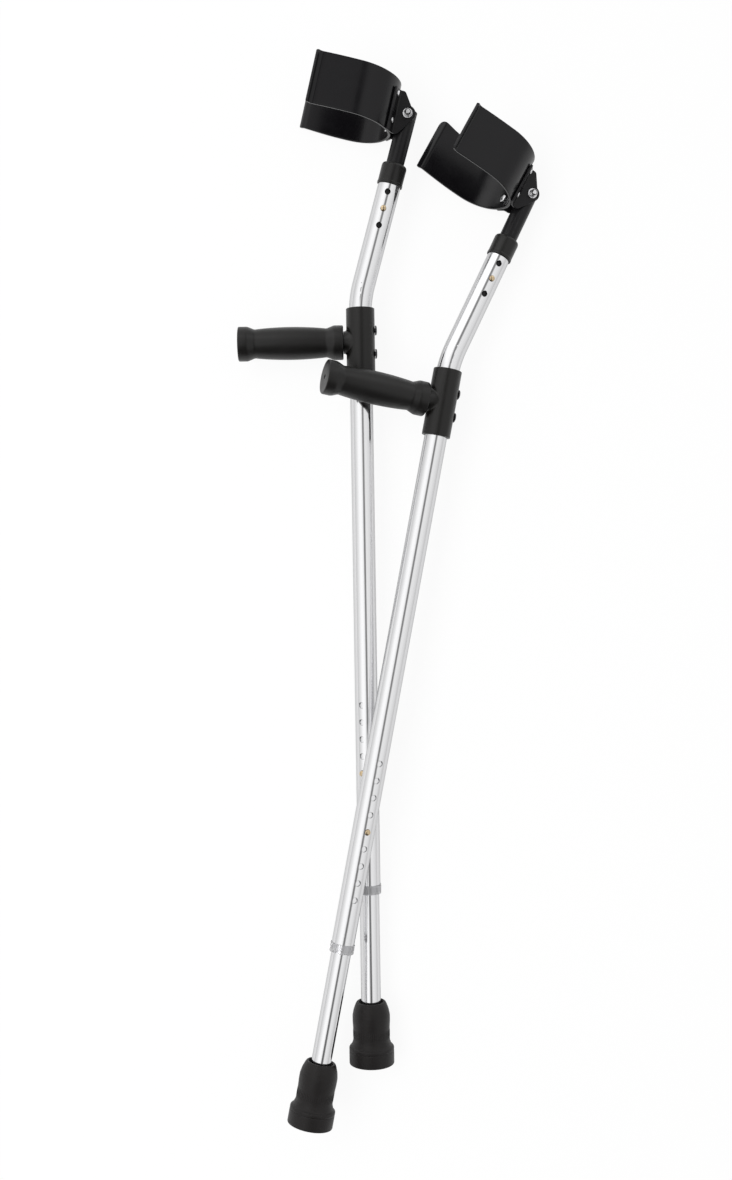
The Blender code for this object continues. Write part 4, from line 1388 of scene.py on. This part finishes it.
@dataclass
class HandleSet(SubAssembly):
    """The bracket round the tube, its two screws and the grip on its peg."""

    tube_radius: float = TubeSet.radius
    wall: float = 2.85
    sleeve_height: float = 75.0
    sleeve_rounding: float = 0.9
    height: float = 810.5
    neck_radius: float = 12.4
    neck_root: float = 2.0
    flare_radius: float = 15.0
    flare_reach: float = 3.2
    flare_sink: float = 0.15
    flare_steps: int = 10
    screw_spacing: float = 26.0
    screw_head_radius: float = 5.4
    screw_head_height: float = 2.2
    screw_rim: float = 1.0
    screw_radius: float = 2.5
    screw_length: float = 9.0
    recess_reach: float = 3.0
    recess_width: float = 1.1
    grip_start: float = 19.4
    grip_length: float = 117.2
    grip_rounding: float = 1.7
    grip_rounding_steps: int = 6
    flange_radius: float = 19.2
    flange_width: float = 10.5
    flange_slope: float = 8.0
    waist_radius: float = 15.9
    belly_radius: float = 18.2
    belly_steps: int = 24
    belly_fullness: float = 0.8
    end_wall: float = 3.5
    vent_radius: float = 2.0
    peg_radius: float = 9.5
    peg_inset: float = 5.0

    @property
    def sleeve_bore(self) -> float:
        """The sleeve's inner radius."""
        return self.tube_radius + SEAT_GAP

    @property
    def sleeve_radius(self) -> float:
        """The sleeve's outer radius."""
        return self.sleeve_bore + self.wall

    def aim(self) -> Matrix:
        """The grip's frame, on the tube's axis with Z pointing along the grip."""
        return lifted_to(self.height) @ Matrix.Rotation(QUARTER, 4, "Y")

    def build(self) -> None:
        """Build the bracket, screws and grip of one crutch."""
        self.build_bracket()
        self.build_screws()
        self.build_grip()

    def flare_row(self, share: float) -> list[Vector]:
        """One row of the flare that joins the neck to the round sleeve.

        Args:
            share: How far the row is from the sleeve to the neck, 0 to 1.

        Returns:
            The row's points.
        """
        row = []
        sleeve = self.sleeve_radius
        pairs = zip(circle(self.flare_radius, ROUND_SIDES), circle(self.neck_radius, ROUND_SIDES))
        for (wide_up, wide), (up, narrow) in pairs:
            seat = math.sqrt(sleeve**2 - wide**2) - self.flare_sink
            root = Vector((wide_up, wide, seat))
            corner = Vector((up, narrow, math.sqrt(sleeve**2 - narrow**2)))
            end = Vector((up, narrow, sleeve + self.flare_reach))
            row.append(curve_point(root, corner, end, share))
        return row

    def neck(self) -> Bmesh:
        """The neck and peg, about the grip's axis.

        Returns:
            The closed body, which reaches into the sleeve.
        """
        rows = [self.flare_row(step / self.flare_steps) for step in range(self.flare_steps + 1)]
        rows.insert(0, [Vector((point.x, point.y, self.neck_root)) for point in rows[0]])
        shoulder = self.grip_start - SEAT_GAP
        peg_end = self.grip_start + self.grip_length - self.end_wall - self.peg_inset
        steps = ((self.neck_radius, shoulder), (self.peg_radius, shoulder),
                 (self.peg_radius, peg_end))
        for radius, depth in steps:
            rows.append([Vector((*point, depth)) for point in circle(radius, ROUND_SIDES)])
        bm = bmesh.new()
        rows = [[bm.verts.new(point) for point in row] for row in rows]
        skin(bm, rows)
        bm.faces.new(rows[0])
        bm.faces.new(rows[-1])
        return bm

    def build_bracket(self) -> None:
        """The sleeve with its neck and peg."""
        low, high = self.height - self.sleeve_height / 2, self.height + self.sleeve_height / 2
        outer, bore = self.sleeve_radius, self.sleeve_bore
        sleeve = [(outer, low), (outer, high), (bore, high), (bore, low)]
        form = self.hollow("handle_bracket_moulded", sleeve, self.sleeve_rounding)
        neck = Form("neck", self.neck(), self.aim())
        room = lathe(rod(bore + self.wall / 2, low, high))
        neck.boolean("DIFFERENCE", Form("neck_bore", room))
        form.boolean("UNION", neck)
        self.deliver(form, self.lay.crutch, "black_hub_plastic", ROOT_BODY, "handle_bracket")

    def build_screws(self) -> None:
        """Two pan-head screws with crossed recesses, in the back of the sleeve."""
        under = self.sleeve_radius + SEAT_GAP
        rim = under + self.screw_rim
        point = under - self.screw_length
        profile = [(0.0, point), (self.screw_radius, point), (self.screw_radius, under),
                   (self.screw_head_radius, under)]
        profile += dome(self.screw_head_radius, rim, self.screw_head_height - self.screw_rim)
        stud = Form("screw", lathe(profile, SMALL_SIDES))
        reach, half = self.recess_reach, self.recess_width / 2
        bar = [(-reach, -half), (reach, -half), (reach, half), (-reach, half)]
        for turn in (0.0, QUARTER):
            slot = prism(bar, rim - self.screw_rim / 2, rim + self.screw_head_height)
            stud.boolean("DIFFERENCE", Form("recess", slot, Matrix.Rotation(turn, 4, "Z")))
        back = Matrix.Rotation(-QUARTER, 4, "Y")
        places = [lifted_to(self.height + step * self.screw_spacing) @ back
                  for step in (-0.5, 0.5)]
        name = self.lay.node("handle_screws_blackened")
        form = self.shop.stud_set(name, stud, places, "blackened_screw")
        self.deliver(form, self.lay.crutch, "blackened_screw", ROOT_BODY,
                     "handle_screw_lower", "handle_screw_upper")

    def build_grip(self) -> None:
        """The moulded grip: flanges, waists, a full belly and the vent in its end."""
        start, end = self.grip_start, self.grip_start + self.grip_length
        near = start + self.flange_width + self.flange_slope
        far = end - self.flange_width - self.flange_slope
        belly = []
        for step in range(self.belly_steps + 1):
            share = step / self.belly_steps
            swell = abs(math.sin(math.pi * share)) ** self.belly_fullness
            radius = self.waist_radius + (self.belly_radius - self.waist_radius) * swell
            belly.append((radius, near + (far - near) * share))
        bore, inside = self.peg_radius + SEAT_GAP, end - self.end_wall
        head = [(bore, start), (self.flange_radius, start),
                (self.flange_radius, start + self.flange_width), belly[0], belly[1]]
        tail = [belly[-2], belly[-1], (self.flange_radius, end - self.flange_width),
                (self.flange_radius, end), (self.vent_radius, end), (self.vent_radius, inside),
                (bore, inside)]
        head = soften(head, self.grip_rounding, self.grip_rounding_steps)[:-1]
        tail = soften(tail, self.grip_rounding, self.grip_rounding_steps)[1:]
        body = lathe(head + belly[1:-1] + tail, ring=True)
        form = Form(self.lay.node("grip_moulded"), body, self.aim())
        self.deliver(form, self.lay.crutch, "moulded_grip", ROOT_BODY, "grip")


@dataclass
class PostSet(SubAssembly):
    """The cuff's post, its end plug and the collar that it slides in."""

    radius: float = 10.0
    wall: float = 1.5
    foot: float = 56.0
    rounding: float = 0.4
    pivot_height: float = 208.8
    over_pivot: float = 4.6
    plug_head: float = 2.5
    plug_skirt: float = 1.5
    tube_radius: float = TubeSet.radius
    tube_bore: float = TubeSet.radius - TubeSet.wall
    tube_top: float = TubeSet.forearm_length
    collar_wall: float = 1.25
    collar_height: float = 23.6
    collar_top: float = 3.6
    collar_rounding: float = 0.8
    roll_height: float = 3.0
    roll_step: Pair = (0.35, 0.4)
    shoulder: Pair = (0.2, 2.2)
    crown: float = 1.2

    def build(self) -> None:
        """Build the post, plug and collar of one crutch."""
        top = self.pivot_height + self.over_pivot
        outer, bore, low = self.radius, self.radius - self.wall, self.foot
        tube = [(outer, low), (outer, top), (bore, top), (bore, low)]
        form = self.hollow("cuff_post_coated", tube, self.rounding)
        tubes = TubeSet(self.shop, self.lay)
        place = tubes.post_button_place()
        form.boolean("DIFFERENCE", tubes.drill("post_hole_drill", outer, [place]))
        self.deliver(form, self.lay.forearm, "black_coated_steel", "post", "cuff_post")
        seat, skirt = top + SEAT_GAP, bore - SEAT_GAP
        plug = [(0.0, seat - self.plug_skirt), (skirt, seat - self.plug_skirt), (skirt, seat),
                (outer, seat)]
        plug += dome(outer, seat + self.plug_head / 3, self.plug_head * 2 / 3)
        form = self.solid("post_plug_moulded", plug, ROUND_SIDES)
        self.deliver(form, self.lay.forearm, "black_hub_plastic", "post", "post_plug")
        self.build_collar()

    def build_collar(self) -> None:
        """The moulded collar, with a rounded shoulder and a rolled lower edge."""
        over = self.tube_radius + SEAT_GAP
        outer = over + self.collar_wall
        end = self.tube_top + SEAT_GAP
        top = end + self.collar_top
        low = top - self.collar_height
        neck = self.radius + SEAT_GAP
        bush = self.tube_bore - SEAT_GAP
        inset, rise = self.roll_step
        shoulder, drop = self.shoulder
        profile = [
            (outer, low),
            (outer, low + self.roll_height),
            (outer - inset, low + self.roll_height + rise),
            (outer - shoulder, top - drop),
            (outer - self.crown, top),
            (neck, top),
            (neck, low + self.collar_top),
            (bush, low + self.collar_top),
            (bush, end),
            (over, end),
            (over, low),
        ]
        form = self.hollow("post_collar_moulded", profile, self.collar_rounding)
        self.deliver(form, self.lay.forearm, "black_hub_plastic", ROOT_BODY, "post_collar")


@dataclass
class CuffSet(SubAssembly):
    """The open forearm cuff, its two bracket plates, and their rivets."""

    half_width: float = 45.0
    wall: float = 3.0
    low: float = -24.5
    high: float = 33.0
    back: float = 14.0
    near_front: float = 108.5
    far_front: float = 118.5
    arc_steps: int = 96
    wall_steps: int = 12
    rise_steps: int = 24
    lip_radius: float = 7.0
    lip_turn: float = math.radians(58.0)
    lip_steps: int = 14
    lip_flat: float = 2.5
    lip_flat_shares: Triple = (1.0, 0.66, 0.33)
    lip_corner: float = 8.0
    lip_square: float = 1.5
    bow_reach: float = 118.0
    far_bow: float = -3.4
    near_bow: float = 1.0
    near_lift: float = 2.6
    far_rise: float = 4.0
    rise_reach: float = 30.0
    edge: float = 0.7
    recess_radius: float = 9.5
    recess_depth: float = 1.5
    plate: float = 2.5
    plate_low: float = -24.6
    plate_high: float = 23.2
    plate_edge: float = 0.5
    nose: float = 8.8
    nose_steps: int = 14
    shoulder: float = 4.0
    shoulder_back: float = 5.5
    heel: float = 4.0
    heel_back: float = 4.8
    corner_steps: int = 8
    shoulder_end: float = math.radians(147.0)
    nose_start: float = math.radians(106.0)
    nose_end: float = math.radians(213.0)
    plate_bend: float = 3.0
    plate_bend_steps: int = 6
    flange_half: float = 6.6
    post_radius: float = PostSet.radius
    rivet_angle: float = math.radians(22.0)
    rivet_spacing: float = 30.0
    rivet_middle: float = 2.5
    rivet_radius: float = 2.0
    rivet_dome_radius: float = 4.5
    rivet_dome_height: float = 2.0
    rivet_dome_rim: float = 0.5
    rivet_tail_radius: float = 3.1
    rivet_tail_height: float = 1.2
    rivet_tail_rim: float = 0.4

    @property
    def centre(self) -> float:
        """How far forward of the pivot the cuff's back arc is centred."""
        return self.back + self.half_width

    def build(self) -> None:
        """Build the cuff set of one crutch."""
        self.build_cuff()
        self.build_plate("near", 1.0)
        self.build_plate("far", -1.0)
        self.build_rivets()

    def half_path(self, front: float) -> list[Vector]:
        """Half of the cuff's mid line in (forward, sideways), from lip to back.

        Args:
            front: How far forward of the pivot the lip's end is.

        Returns:
            The line's points.
        """
        half = self.half_width - self.wall / 2
        turn, radius = self.lip_turn, self.lip_radius
        start = front - radius * math.sin(turn) - self.lip_flat * math.cos(turn)
        lip = arc((start, half + radius), radius, -QUARTER, turn - QUARTER, self.lip_steps)
        tangent = Vector((math.cos(turn), math.sin(turn))) * self.lip_flat
        tips = [lip[-1] + tangent * share for share in self.lip_flat_shares]
        wall = [Vector((self.centre + (start - self.centre) * (1 - step / self.wall_steps), half))
                for step in range(1, self.wall_steps)]
        back = arc((self.centre, 0.0), half, QUARTER, 2 * QUARTER, self.arc_steps // 2)
        return tips + lip[::-1] + wall + back

    @staticmethod
    def corner_drop(distance: float, radius: float) -> float:
        """How far a rounded corner lowers the edge at a distance from the end.

        Args:
            distance: The distance from the strip's end.
            radius: The corner's radius.

        Returns:
            How far the edge is lowered.
        """
        if distance >= radius:
            return 0.0
        return radius - math.sqrt(radius**2 - (radius - distance) ** 2)

    @staticmethod
    def fade(share: float) -> float:
        """A smooth fall from 1 to 0 as a share goes from 0 to 1."""
        return (1.0 - share) ** 2 * (1.0 + 2.0 * share)

    def edge_sway(self, near_end: float, far_end: float) -> Pair:
        """How far the cuff's lower and upper edges sway from level.

        Args:
            near_end: How far along the strip the near lip's end is.
            far_end: How far along it the far lip's end is.

        Returns:
            The lower edge's rise and the upper edge's rise.
        """
        near = min(near_end / self.bow_reach, 1.0)
        far = min(far_end / self.bow_reach, 1.0)
        lift = self.near_lift * self.fade(near) + self.near_bow * math.sin(math.pi * near)
        rise = self.far_rise * self.fade(min(far_end / self.rise_reach, 1.0))
        return lift + self.far_bow * math.sin(math.pi * far), lift + rise

    def build_cuff(self) -> None:
        """The cuff's shell, dished round each rivet head."""
        far = [Vector((point.x, -point.y)) for point in self.half_path(self.far_front)[:-1]]
        path = self.half_path(self.near_front) + far[::-1]
        travel = [0.0]
        for before, after in zip(path, path[1:]):
            travel.append(travel[-1] + (after - before).length)
        inner, outer = offset_pair(path, self.wall)
        bm = bmesh.new()
        rows = []
        for near_end, inside, outside in zip(travel, inner, outer):
            far_end = travel[-1] - near_end
            low_sway, high_sway = self.edge_sway(near_end, far_end)
            low = self.low + low_sway + self.corner_drop(min(near_end, far_end), self.lip_square)
            high = self.high + high_sway - self.corner_drop(far_end, self.lip_corner)
            high -= self.corner_drop(near_end, self.lip_square)
            levels = [low + (high - low) * step / self.rise_steps
                      for step in range(self.rise_steps + 1)]
            row = [self.dished(Vector((*inside, level))) for level in levels]
            row += [Vector((*outside, level)) for level in reversed(levels)]
            rows.append([bm.verts.new(point) for point in row])
        skin(bm, rows)
        for row in (rows[0], rows[-1]):
            for step in range(self.rise_steps):
                bm.faces.new((row[step], row[step + 1], row[-step - 2], row[-step - 1]))
        form = Form(self.lay.node("cuff_moulded"), bm).bevel(self.edge)
        self.deliver(form, self.lay.cuff, "black_cuff_plastic", "cuff_set", "cuff")

    def dished(self, point: Vector) -> Vector:
        """Move an inner point outwards where it lies in a rivet's recess.

        Args:
            point: The point on the cuff's inner face.

        Returns:
            The point's new place.
        """
        for place in self.rivet_places().values():
            aim = place.to_3x3() @ Vector((0.0, 0.0, 1.0))
            arm = point - place.translation
            along = arm.dot(aim)
            away = (arm - aim * along).length
            if along > 0 and away < self.recess_radius:
                share = (1 - (away / self.recess_radius) ** 2) ** 2
                return point + aim * self.recess_depth * share
        return point

    def rivet_places(self) -> dict[str, Matrix]:
        """Frames of the four rivets, on the cuff arc's axis, Z pointing out.

        Returns:
            The frames by the rivets' names.
        """
        places = {}
        for word, sign in (("near", 1.0), ("far", -1.0)):
            spin = Matrix.Rotation(-sign * self.rivet_angle, 4, "Z")
            for level, step in (("upper", 0.5), ("lower", -0.5)):
                height = self.rivet_middle + step * self.rivet_spacing
                stand = Matrix.Translation((self.centre, 0.0, height))
                aim = stand @ spin @ Matrix.Rotation(-QUARTER, 4, "Y")
                places[f"rivet_{word}_{level}"] = aim
        return places

    def plate_outline(self) -> list[Pair | Vector]:
        """The ear plate seen from the side, in (forward, up) from the pivot.

        Returns:
            The outline's points.
        """
        shoulder = (self.shoulder_back + self.shoulder, self.plate_high - self.shoulder)
        heel = (self.heel_back + self.heel, self.plate_low + self.heel)
        steps = self.corner_steps
        return [
            (self.centre, self.plate_high),
            *arc(shoulder, self.shoulder, QUARTER, self.shoulder_end, steps),
            *arc((0.0, 0.0), self.nose, self.nose_start, self.nose_end, self.nose_steps),
            *arc(heel, self.heel, self.nose_end, 3 * QUARTER, steps),
            (self.centre, self.plate_low),
        ]

    def build_plate(self, word: str, sign: float) -> None:
        """One bent plate: a flange on the cuff's back and an ear beside the post.

        Args:
            word: Which plate, near or far.
            sign: 1 for the near side and -1 for the far side.
        """
        ear = self.post_radius + SEAT_GAP + self.plate / 2
        reach = self.half_width + SEAT_GAP + self.plate / 2
        sine, cosine = math.sin(self.rivet_angle), math.cos(self.rivet_angle)
        middle = Vector((self.centre - reach * cosine, reach * sine))
        along = Vector((sine, cosine))
        corner = middle - along * ((middle.y - ear) / cosine)
        start, end = corner - Vector((self.plate_bend, 0.0)), corner + along * self.plate_bend
        steps = self.plate_bend_steps
        bend = [curve_point(start, corner, end, step / steps) for step in range(steps + 1)]
        path = [Vector((-2 * self.nose, ear)), *bend, middle + along * self.flange_half]
        path = [Vector((point.x, sign * point.y)) for point in path]
        left, right = offset_pair(path, self.plate)
        strip = prism(left + right[::-1], self.plate_low, self.plate_high)
        form = Form(self.lay.node(f"{word}_plate_coated"), strip)
        trim = prism(self.plate_outline(), -self.half_width, self.half_width)
        form.boolean("INTERSECT", Form("plate_trim", trim, Matrix.Rotation(QUARTER, 4, "X")))
        form.bevel(self.plate_edge)
        self.deliver(form, self.lay.cuff, "black_coated_steel", "cuff_set", f"{word}_plate")

    def build_rivets(self) -> None:
        """Four rivets: domed heads inside the cuff, set tails on the flanges."""
        inside = self.half_width - self.wall
        head = math.sqrt(inside**2 - self.rivet_dome_radius**2) - SEAT_GAP
        tail = self.half_width + SEAT_GAP + self.plate + SEAT_GAP
        rim, tail_rim = self.rivet_dome_rim, self.rivet_tail_rim
        crown = dome(self.rivet_dome_radius, head - rim, rim - self.rivet_dome_height)
        profile = crown[::-1]
        profile += [(self.rivet_dome_radius, head), (self.rivet_radius, head),
                    (self.rivet_radius, tail), (self.rivet_tail_radius, tail)]
        profile += dome(self.rivet_tail_radius, tail + tail_rim, self.rivet_tail_height - tail_rim)
        stud = Form("rivet", lathe(profile, SMALL_SIDES))
        places = self.rivet_places()
        name = self.lay.node("rivets_plated")
        form = self.shop.stud_set(name, stud, list(places.values()), "zinc_plate")
        self.deliver(form, self.lay.cuff, "zinc_plate", "cuff_set", *places)


@dataclass
class PivotSet(SubAssembly):
    """The pivot bolt with its washer and lock nut."""

    bolt_radius: float = 2.5
    bolt_end: float = 1.2
    bolt_chamfer: float = 0.6
    head_radius: float = 5.2
    head_height: float = 3.0
    head_rim: float = 1.0
    washer_radius: float = 5.4
    washer: float = 1.0
    washer_rounding: float = 0.25
    nut_radius: float = 4.6
    nut_height: float = 4.6
    nut_hex: float = 3.0
    nut_chamfer: float = 0.6
    crown_chamfer: float = 0.4
    insert_radius: float = 3.5
    insert_seat: float = 0.5
    insert_height: float = 0.4
    insert_gap: float = 0.1
    insert_rounding: float = 0.15
    bore_over: float = 1.0

    @property
    def face(self) -> float:
        """How far out the washers sit on the ears."""
        return PostSet.radius + SEAT_GAP + CuffSet.plate + SEAT_GAP

    @property
    def bore(self) -> float:
        """The radius of the holes that the bolt goes through."""
        return self.bolt_radius + SEAT_GAP

    def build(self) -> None:
        """Build the pivot of one crutch."""
        place = self.lay.forearm @ radial(PostSet.pivot_height)
        face, top = self.face, self.face + self.washer
        low = top + SEAT_GAP
        high = low + self.nut_height
        end, chamfer = high + self.bolt_end, self.bolt_chamfer
        crown = dome(self.head_radius, -face - self.head_rim, self.head_rim - self.head_height)
        bolt = crown[::-1]
        bolt += [(self.head_radius, -face), (self.bolt_radius, -face),
                 (self.bolt_radius, end - chamfer), (self.bolt_radius - chamfer, end), (0.0, end)]
        form = self.solid("pivot_bolt_plated", bolt)
        self.deliver(form, place, "zinc_plate", "post", "pivot_bolt")
        outer, bore = self.washer_radius, self.bore
        flat = [(bore, face), (outer, face), (outer, top), (bore, top)]
        form = self.hollow("pivot_washer_plated", flat, self.washer_rounding, SMALL_SIDES)
        self.deliver(form, place, "zinc_plate", "post", "pivot_washer")
        self.build_nut(place, low, high)

    def build_nut(self, place: Matrix, low: float, high: float) -> None:
        """A lock nut: chamfered hexagon, round crown and a dark insert.

        Args:
            place: The bolt's frame.
            low: Where the nut starts on it.
            high: Where the nut ends.
        """
        outer, insert = self.nut_radius, self.insert_radius
        flat, chamfer = outer * math.cos(math.pi / 6), self.crown_chamfer
        seat = high - self.insert_seat
        envelope = [
            (0.0, low),
            (outer, low),
            (outer, low + self.nut_hex - self.nut_chamfer),
            (flat, low + self.nut_hex),
            (flat, high - chamfer),
            (flat - chamfer, high),
            (insert, high),
            (insert, seat),
            (0.0, seat),
        ]
        room = rod(self.bore, low - self.bore_over, high + self.bore_over)
        form = Form(self.lay.node("pivot_nut_plated"), prism(circle(outer, 6), low, high))
        form.boolean("INTERSECT", Form("nut_envelope", lathe(envelope, SMALL_SIDES)))
        form.boolean("DIFFERENCE", Form("nut_bore", lathe(room, SMALL_SIDES)))
        self.deliver(form, place, "zinc_plate", "post", "pivot_nut")
        bottom, rim = high - self.insert_height, insert - self.insert_gap
        ring = [(self.bore, bottom), (rim, bottom), (rim, high), (self.bore, high)]
        form = self.hollow("pivot_nut_insert", ring, self.insert_rounding, SMALL_SIDES)
        self.deliver(form, place, "black_hub_plastic", "post")


HIDDEN_FINISHES = {
    "tip_washer": "zinc_plate",
    "leg_spring": "spring_strip",
    "post_spring": "spring_strip",
}


def dress_hidden_nodes(shop: Shop, lay: Lay, nodes: dict) -> None:
    """Give the inner nodes, whose shape is right, their real finish.

    Args:
        shop: The finishes.
        lay: The crutch's frames and names.
        nodes: The frame's nodes by name.
    """
    for name, finish in HIDDEN_FINISHES.items():
        item = nodes[lay.node(name)]
        item.data.materials.clear()
        item.data.materials.append(shop.materials[finish])


# Studio, in metres


@dataclass
class Studio:
    """The white floor, the soft light and the camera over the pair."""

    floor_size: float = 14.0
    floor_white: float = 0.97
    shadow_share: float = 0.09
    mirror_share: float = 0.70
    camera_over: Pair = (-0.0255, 0.0050)
    camera_height: float = 1.665
    lens: float = 44.30
    sensor: float = 36.0
    lamp_lean: float = math.radians(-26.0)
    lamp_distance: float = 2.6
    lamp_size: Pair = (1.2, 2.4)
    lamp_radiance: float = 4.2
    day_diffuse: float = 0.62
    gloss_bright: float = 0.97
    gloss_grey: float = 0.72
    gloss_light: float = 0.88
    gloss_tail: float = 0.70
    gloss_dark: float = 0.22
    gloss_below: float = 0.12
    bright_edge: float = math.radians(-57.0)
    edge_blend: float = 0.72
    strip_lean: float = math.radians(9.0)
    strip_width: float = math.radians(15.0)
    tail_end: float = 1.7
    core_lean: float = math.radians(-34.0)
    core_span: Pair = (0.05, 0.60)
    core_gain: float = 1.16
    below_slope: float = 0.9
    below_span: Pair = (0.05, 0.35)
    sky_gain: float = 1.6
    sky_start: Pair = (0.36, 0.66)
    sky_end: Pair = (0.72, 0.92)

    def build(self) -> None:
        """Build the whole studio."""
        self.build_floor()
        self.build_world()
        self.build_lamp()
        self.build_camera()
        view = bpy.context.scene.view_settings
        view.view_transform = "Standard"

    def build_floor(self) -> None:
        """A white floor that keeps only part of the shadows on it."""
        half = self.floor_size / 2
        outline = [(-half, -half), (half, -half), (half, half), (-half, half)]
        bm = bmesh.new()
        bm.faces.new([bm.verts.new((x, y, 0.0)) for x, y in outline])
        mesh = bpy.data.meshes.new("floor")
        bm.to_mesh(mesh)
        bm.free()
        floor = bpy.data.objects.new("floor", mesh)
        bpy.context.scene.collection.objects.link(floor)
        material = bpy.data.materials.new("floor_white")
        material.use_nodes = True
        tree = material.node_tree
        tree.nodes.clear()
        white = self.floor_white
        matt = put(tree, "ShaderNodeBsdfDiffuse", {"Color": (white, white, white, 1.0)})
        glow = put(tree, "ShaderNodeEmission", {"Color": (1.0, 1.0, 1.0, 1.0), "Strength": 1.0})
        path = put(tree, "ShaderNodeLightPath").outputs
        mirrored = math_node(tree, "MAXIMUM", path["Is Glossy Ray"], path["Is Transmission Ray"])
        share = multiply(tree, path["Is Camera Ray"], 1.0 - self.shadow_share)
        faint = multiply(tree, mirrored, 1.0 - self.mirror_share)
        share = math_node(tree, "ADD", share, faint)
        mixed = {0: share, 1: matt.outputs[0], 2: glow.outputs[0]}
        mixed = put(tree, "ShaderNodeMixShader", mixed).outputs[0]
        put(tree, "ShaderNodeOutputMaterial", {0: mixed})
        mesh.materials.append(material)

    def build_world(self) -> None:
        """White to the camera, and the studio's soft boxes in reflections."""
        world = bpy.data.worlds.new("studio")
        bpy.context.scene.world = world
        world.use_nodes = True
        tree = world.node_tree
        tree.nodes.clear()
        path = put(tree, "ShaderNodeLightPath").outputs
        mirrored = self.mirrored_studio(tree)
        level = mix_value(tree, path["Is Glossy Ray"], self.day_diffuse, mirrored)
        strength = mix_value(tree, path["Is Camera Ray"], level, 1.0)
        white = {"Color": (1.0, 1.0, 1.0, 1.0), "Strength": strength}
        light = put(tree, "ShaderNodeBackground", white).outputs[0]
        put(tree, "ShaderNodeOutputWorld", {0: light})

    def mirrored_studio(self, tree: Tree) -> Socket:
        """What mirrors see: a bright box up and left, a dark gap, then soft grey.

        Args:
            tree: The world's tree.

        Returns:
            How bright the studio is in a ray's direction.
        """
        ray = put(tree, "ShaderNodeTexCoord").outputs["Generated"]
        parts = put(tree, "ShaderNodeSeparateXYZ", {0: ray}).outputs
        lean = math_node(tree, "ARCTAN2", parts["X"], parts["Z"])
        edge, blend = self.bright_edge, self.edge_blend
        left, right = self.strip_lean - self.strip_width, self.strip_lean + self.strip_width
        quarter = self.strip_width / 4
        darker = self.gloss_dark / self.gloss_bright
        lighter = self.gloss_light / self.gloss_dark
        dimmer = self.gloss_tail / self.gloss_light
        rise = map_range(tree, lean, edge - blend, edge + blend,
                         self.gloss_grey, self.gloss_bright, soft=True)
        fall = map_range(tree, lean, left, self.strip_lean - quarter, 1.0, darker, soft=True)
        back = map_range(tree, lean, self.strip_lean + quarter, right, 1.0, lighter, soft=True)
        tail = map_range(tree, lean, right, self.tail_end, 1.0, dimmer, soft=True)
        off = math_node(tree, "SUBTRACT", lean, self.core_lean)
        off = math_node(tree, "ABSOLUTE", off)
        core = map_range(tree, off, *self.core_span, self.core_gain, 1.0, soft=True)
        wide = multiply(tree, math_node(tree, "ABSOLUTE", parts["X"]), self.below_slope)
        below = multiply(tree, math_node(tree, "ADD", parts["Y"], wide), -1.0)
        dim = map_range(tree, below, *self.below_span, 1.0, self.gloss_below, soft=True)
        sky = map_range(tree, parts["Y"], *self.sky_start, 1.0, self.sky_gain, soft=True)
        end = map_range(tree, parts["Y"], *self.sky_end, 1.0, 1.0 / self.sky_gain, soft=True)
        return multiply(tree, rise, fall, back, tail, core, dim, sky, end)

    def build_lamp(self) -> None:
        """One broad soft box, up and to the left."""
        data = bpy.data.lights.new("soft_box", "AREA")
        data.shape = "RECTANGLE"
        data.size, data.size_y = self.lamp_size
        data.energy = self.lamp_radiance * math.pi * self.lamp_size[0] * self.lamp_size[1]
        lamp = bpy.data.objects.new("soft_box", data)
        lamp.matrix_world = Matrix.Rotation(self.lamp_lean, 4, "Y") @ lifted_to(self.lamp_distance)
        lamp.visible_camera = False
        lamp.visible_glossy = False
        bpy.context.scene.collection.objects.link(lamp)

    def build_camera(self) -> None:
        """The camera, straight above the pair."""
        data = bpy.data.cameras.new("camera")
        data.lens = self.lens
        data.sensor_width = self.sensor
        camera = bpy.data.objects.new("camera", data)
        camera.location = (*self.camera_over, self.camera_height)
        bpy.context.scene.collection.objects.link(camera)
        bpy.context.scene.camera = camera


def main() -> None:
    """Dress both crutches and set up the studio."""
    logging.basicConfig(level=logging.INFO, format="%(message)s")
    for item in list(bpy.data.objects):
        bpy.data.objects.remove(item, do_unlink=True)
    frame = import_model()
    Studio().build()
    shop = Shop()
    for side in Side:
        lay = Lay.from_record(side, frame["record"])
        for maker in (TubeSet, TipSet, HandleSet, PostSet, CuffSet, PivotSet):
            maker(shop, lay).build()
        dress_hidden_nodes(shop, lay, frame["nodes"])


if __name__ == "__main__":
    main()
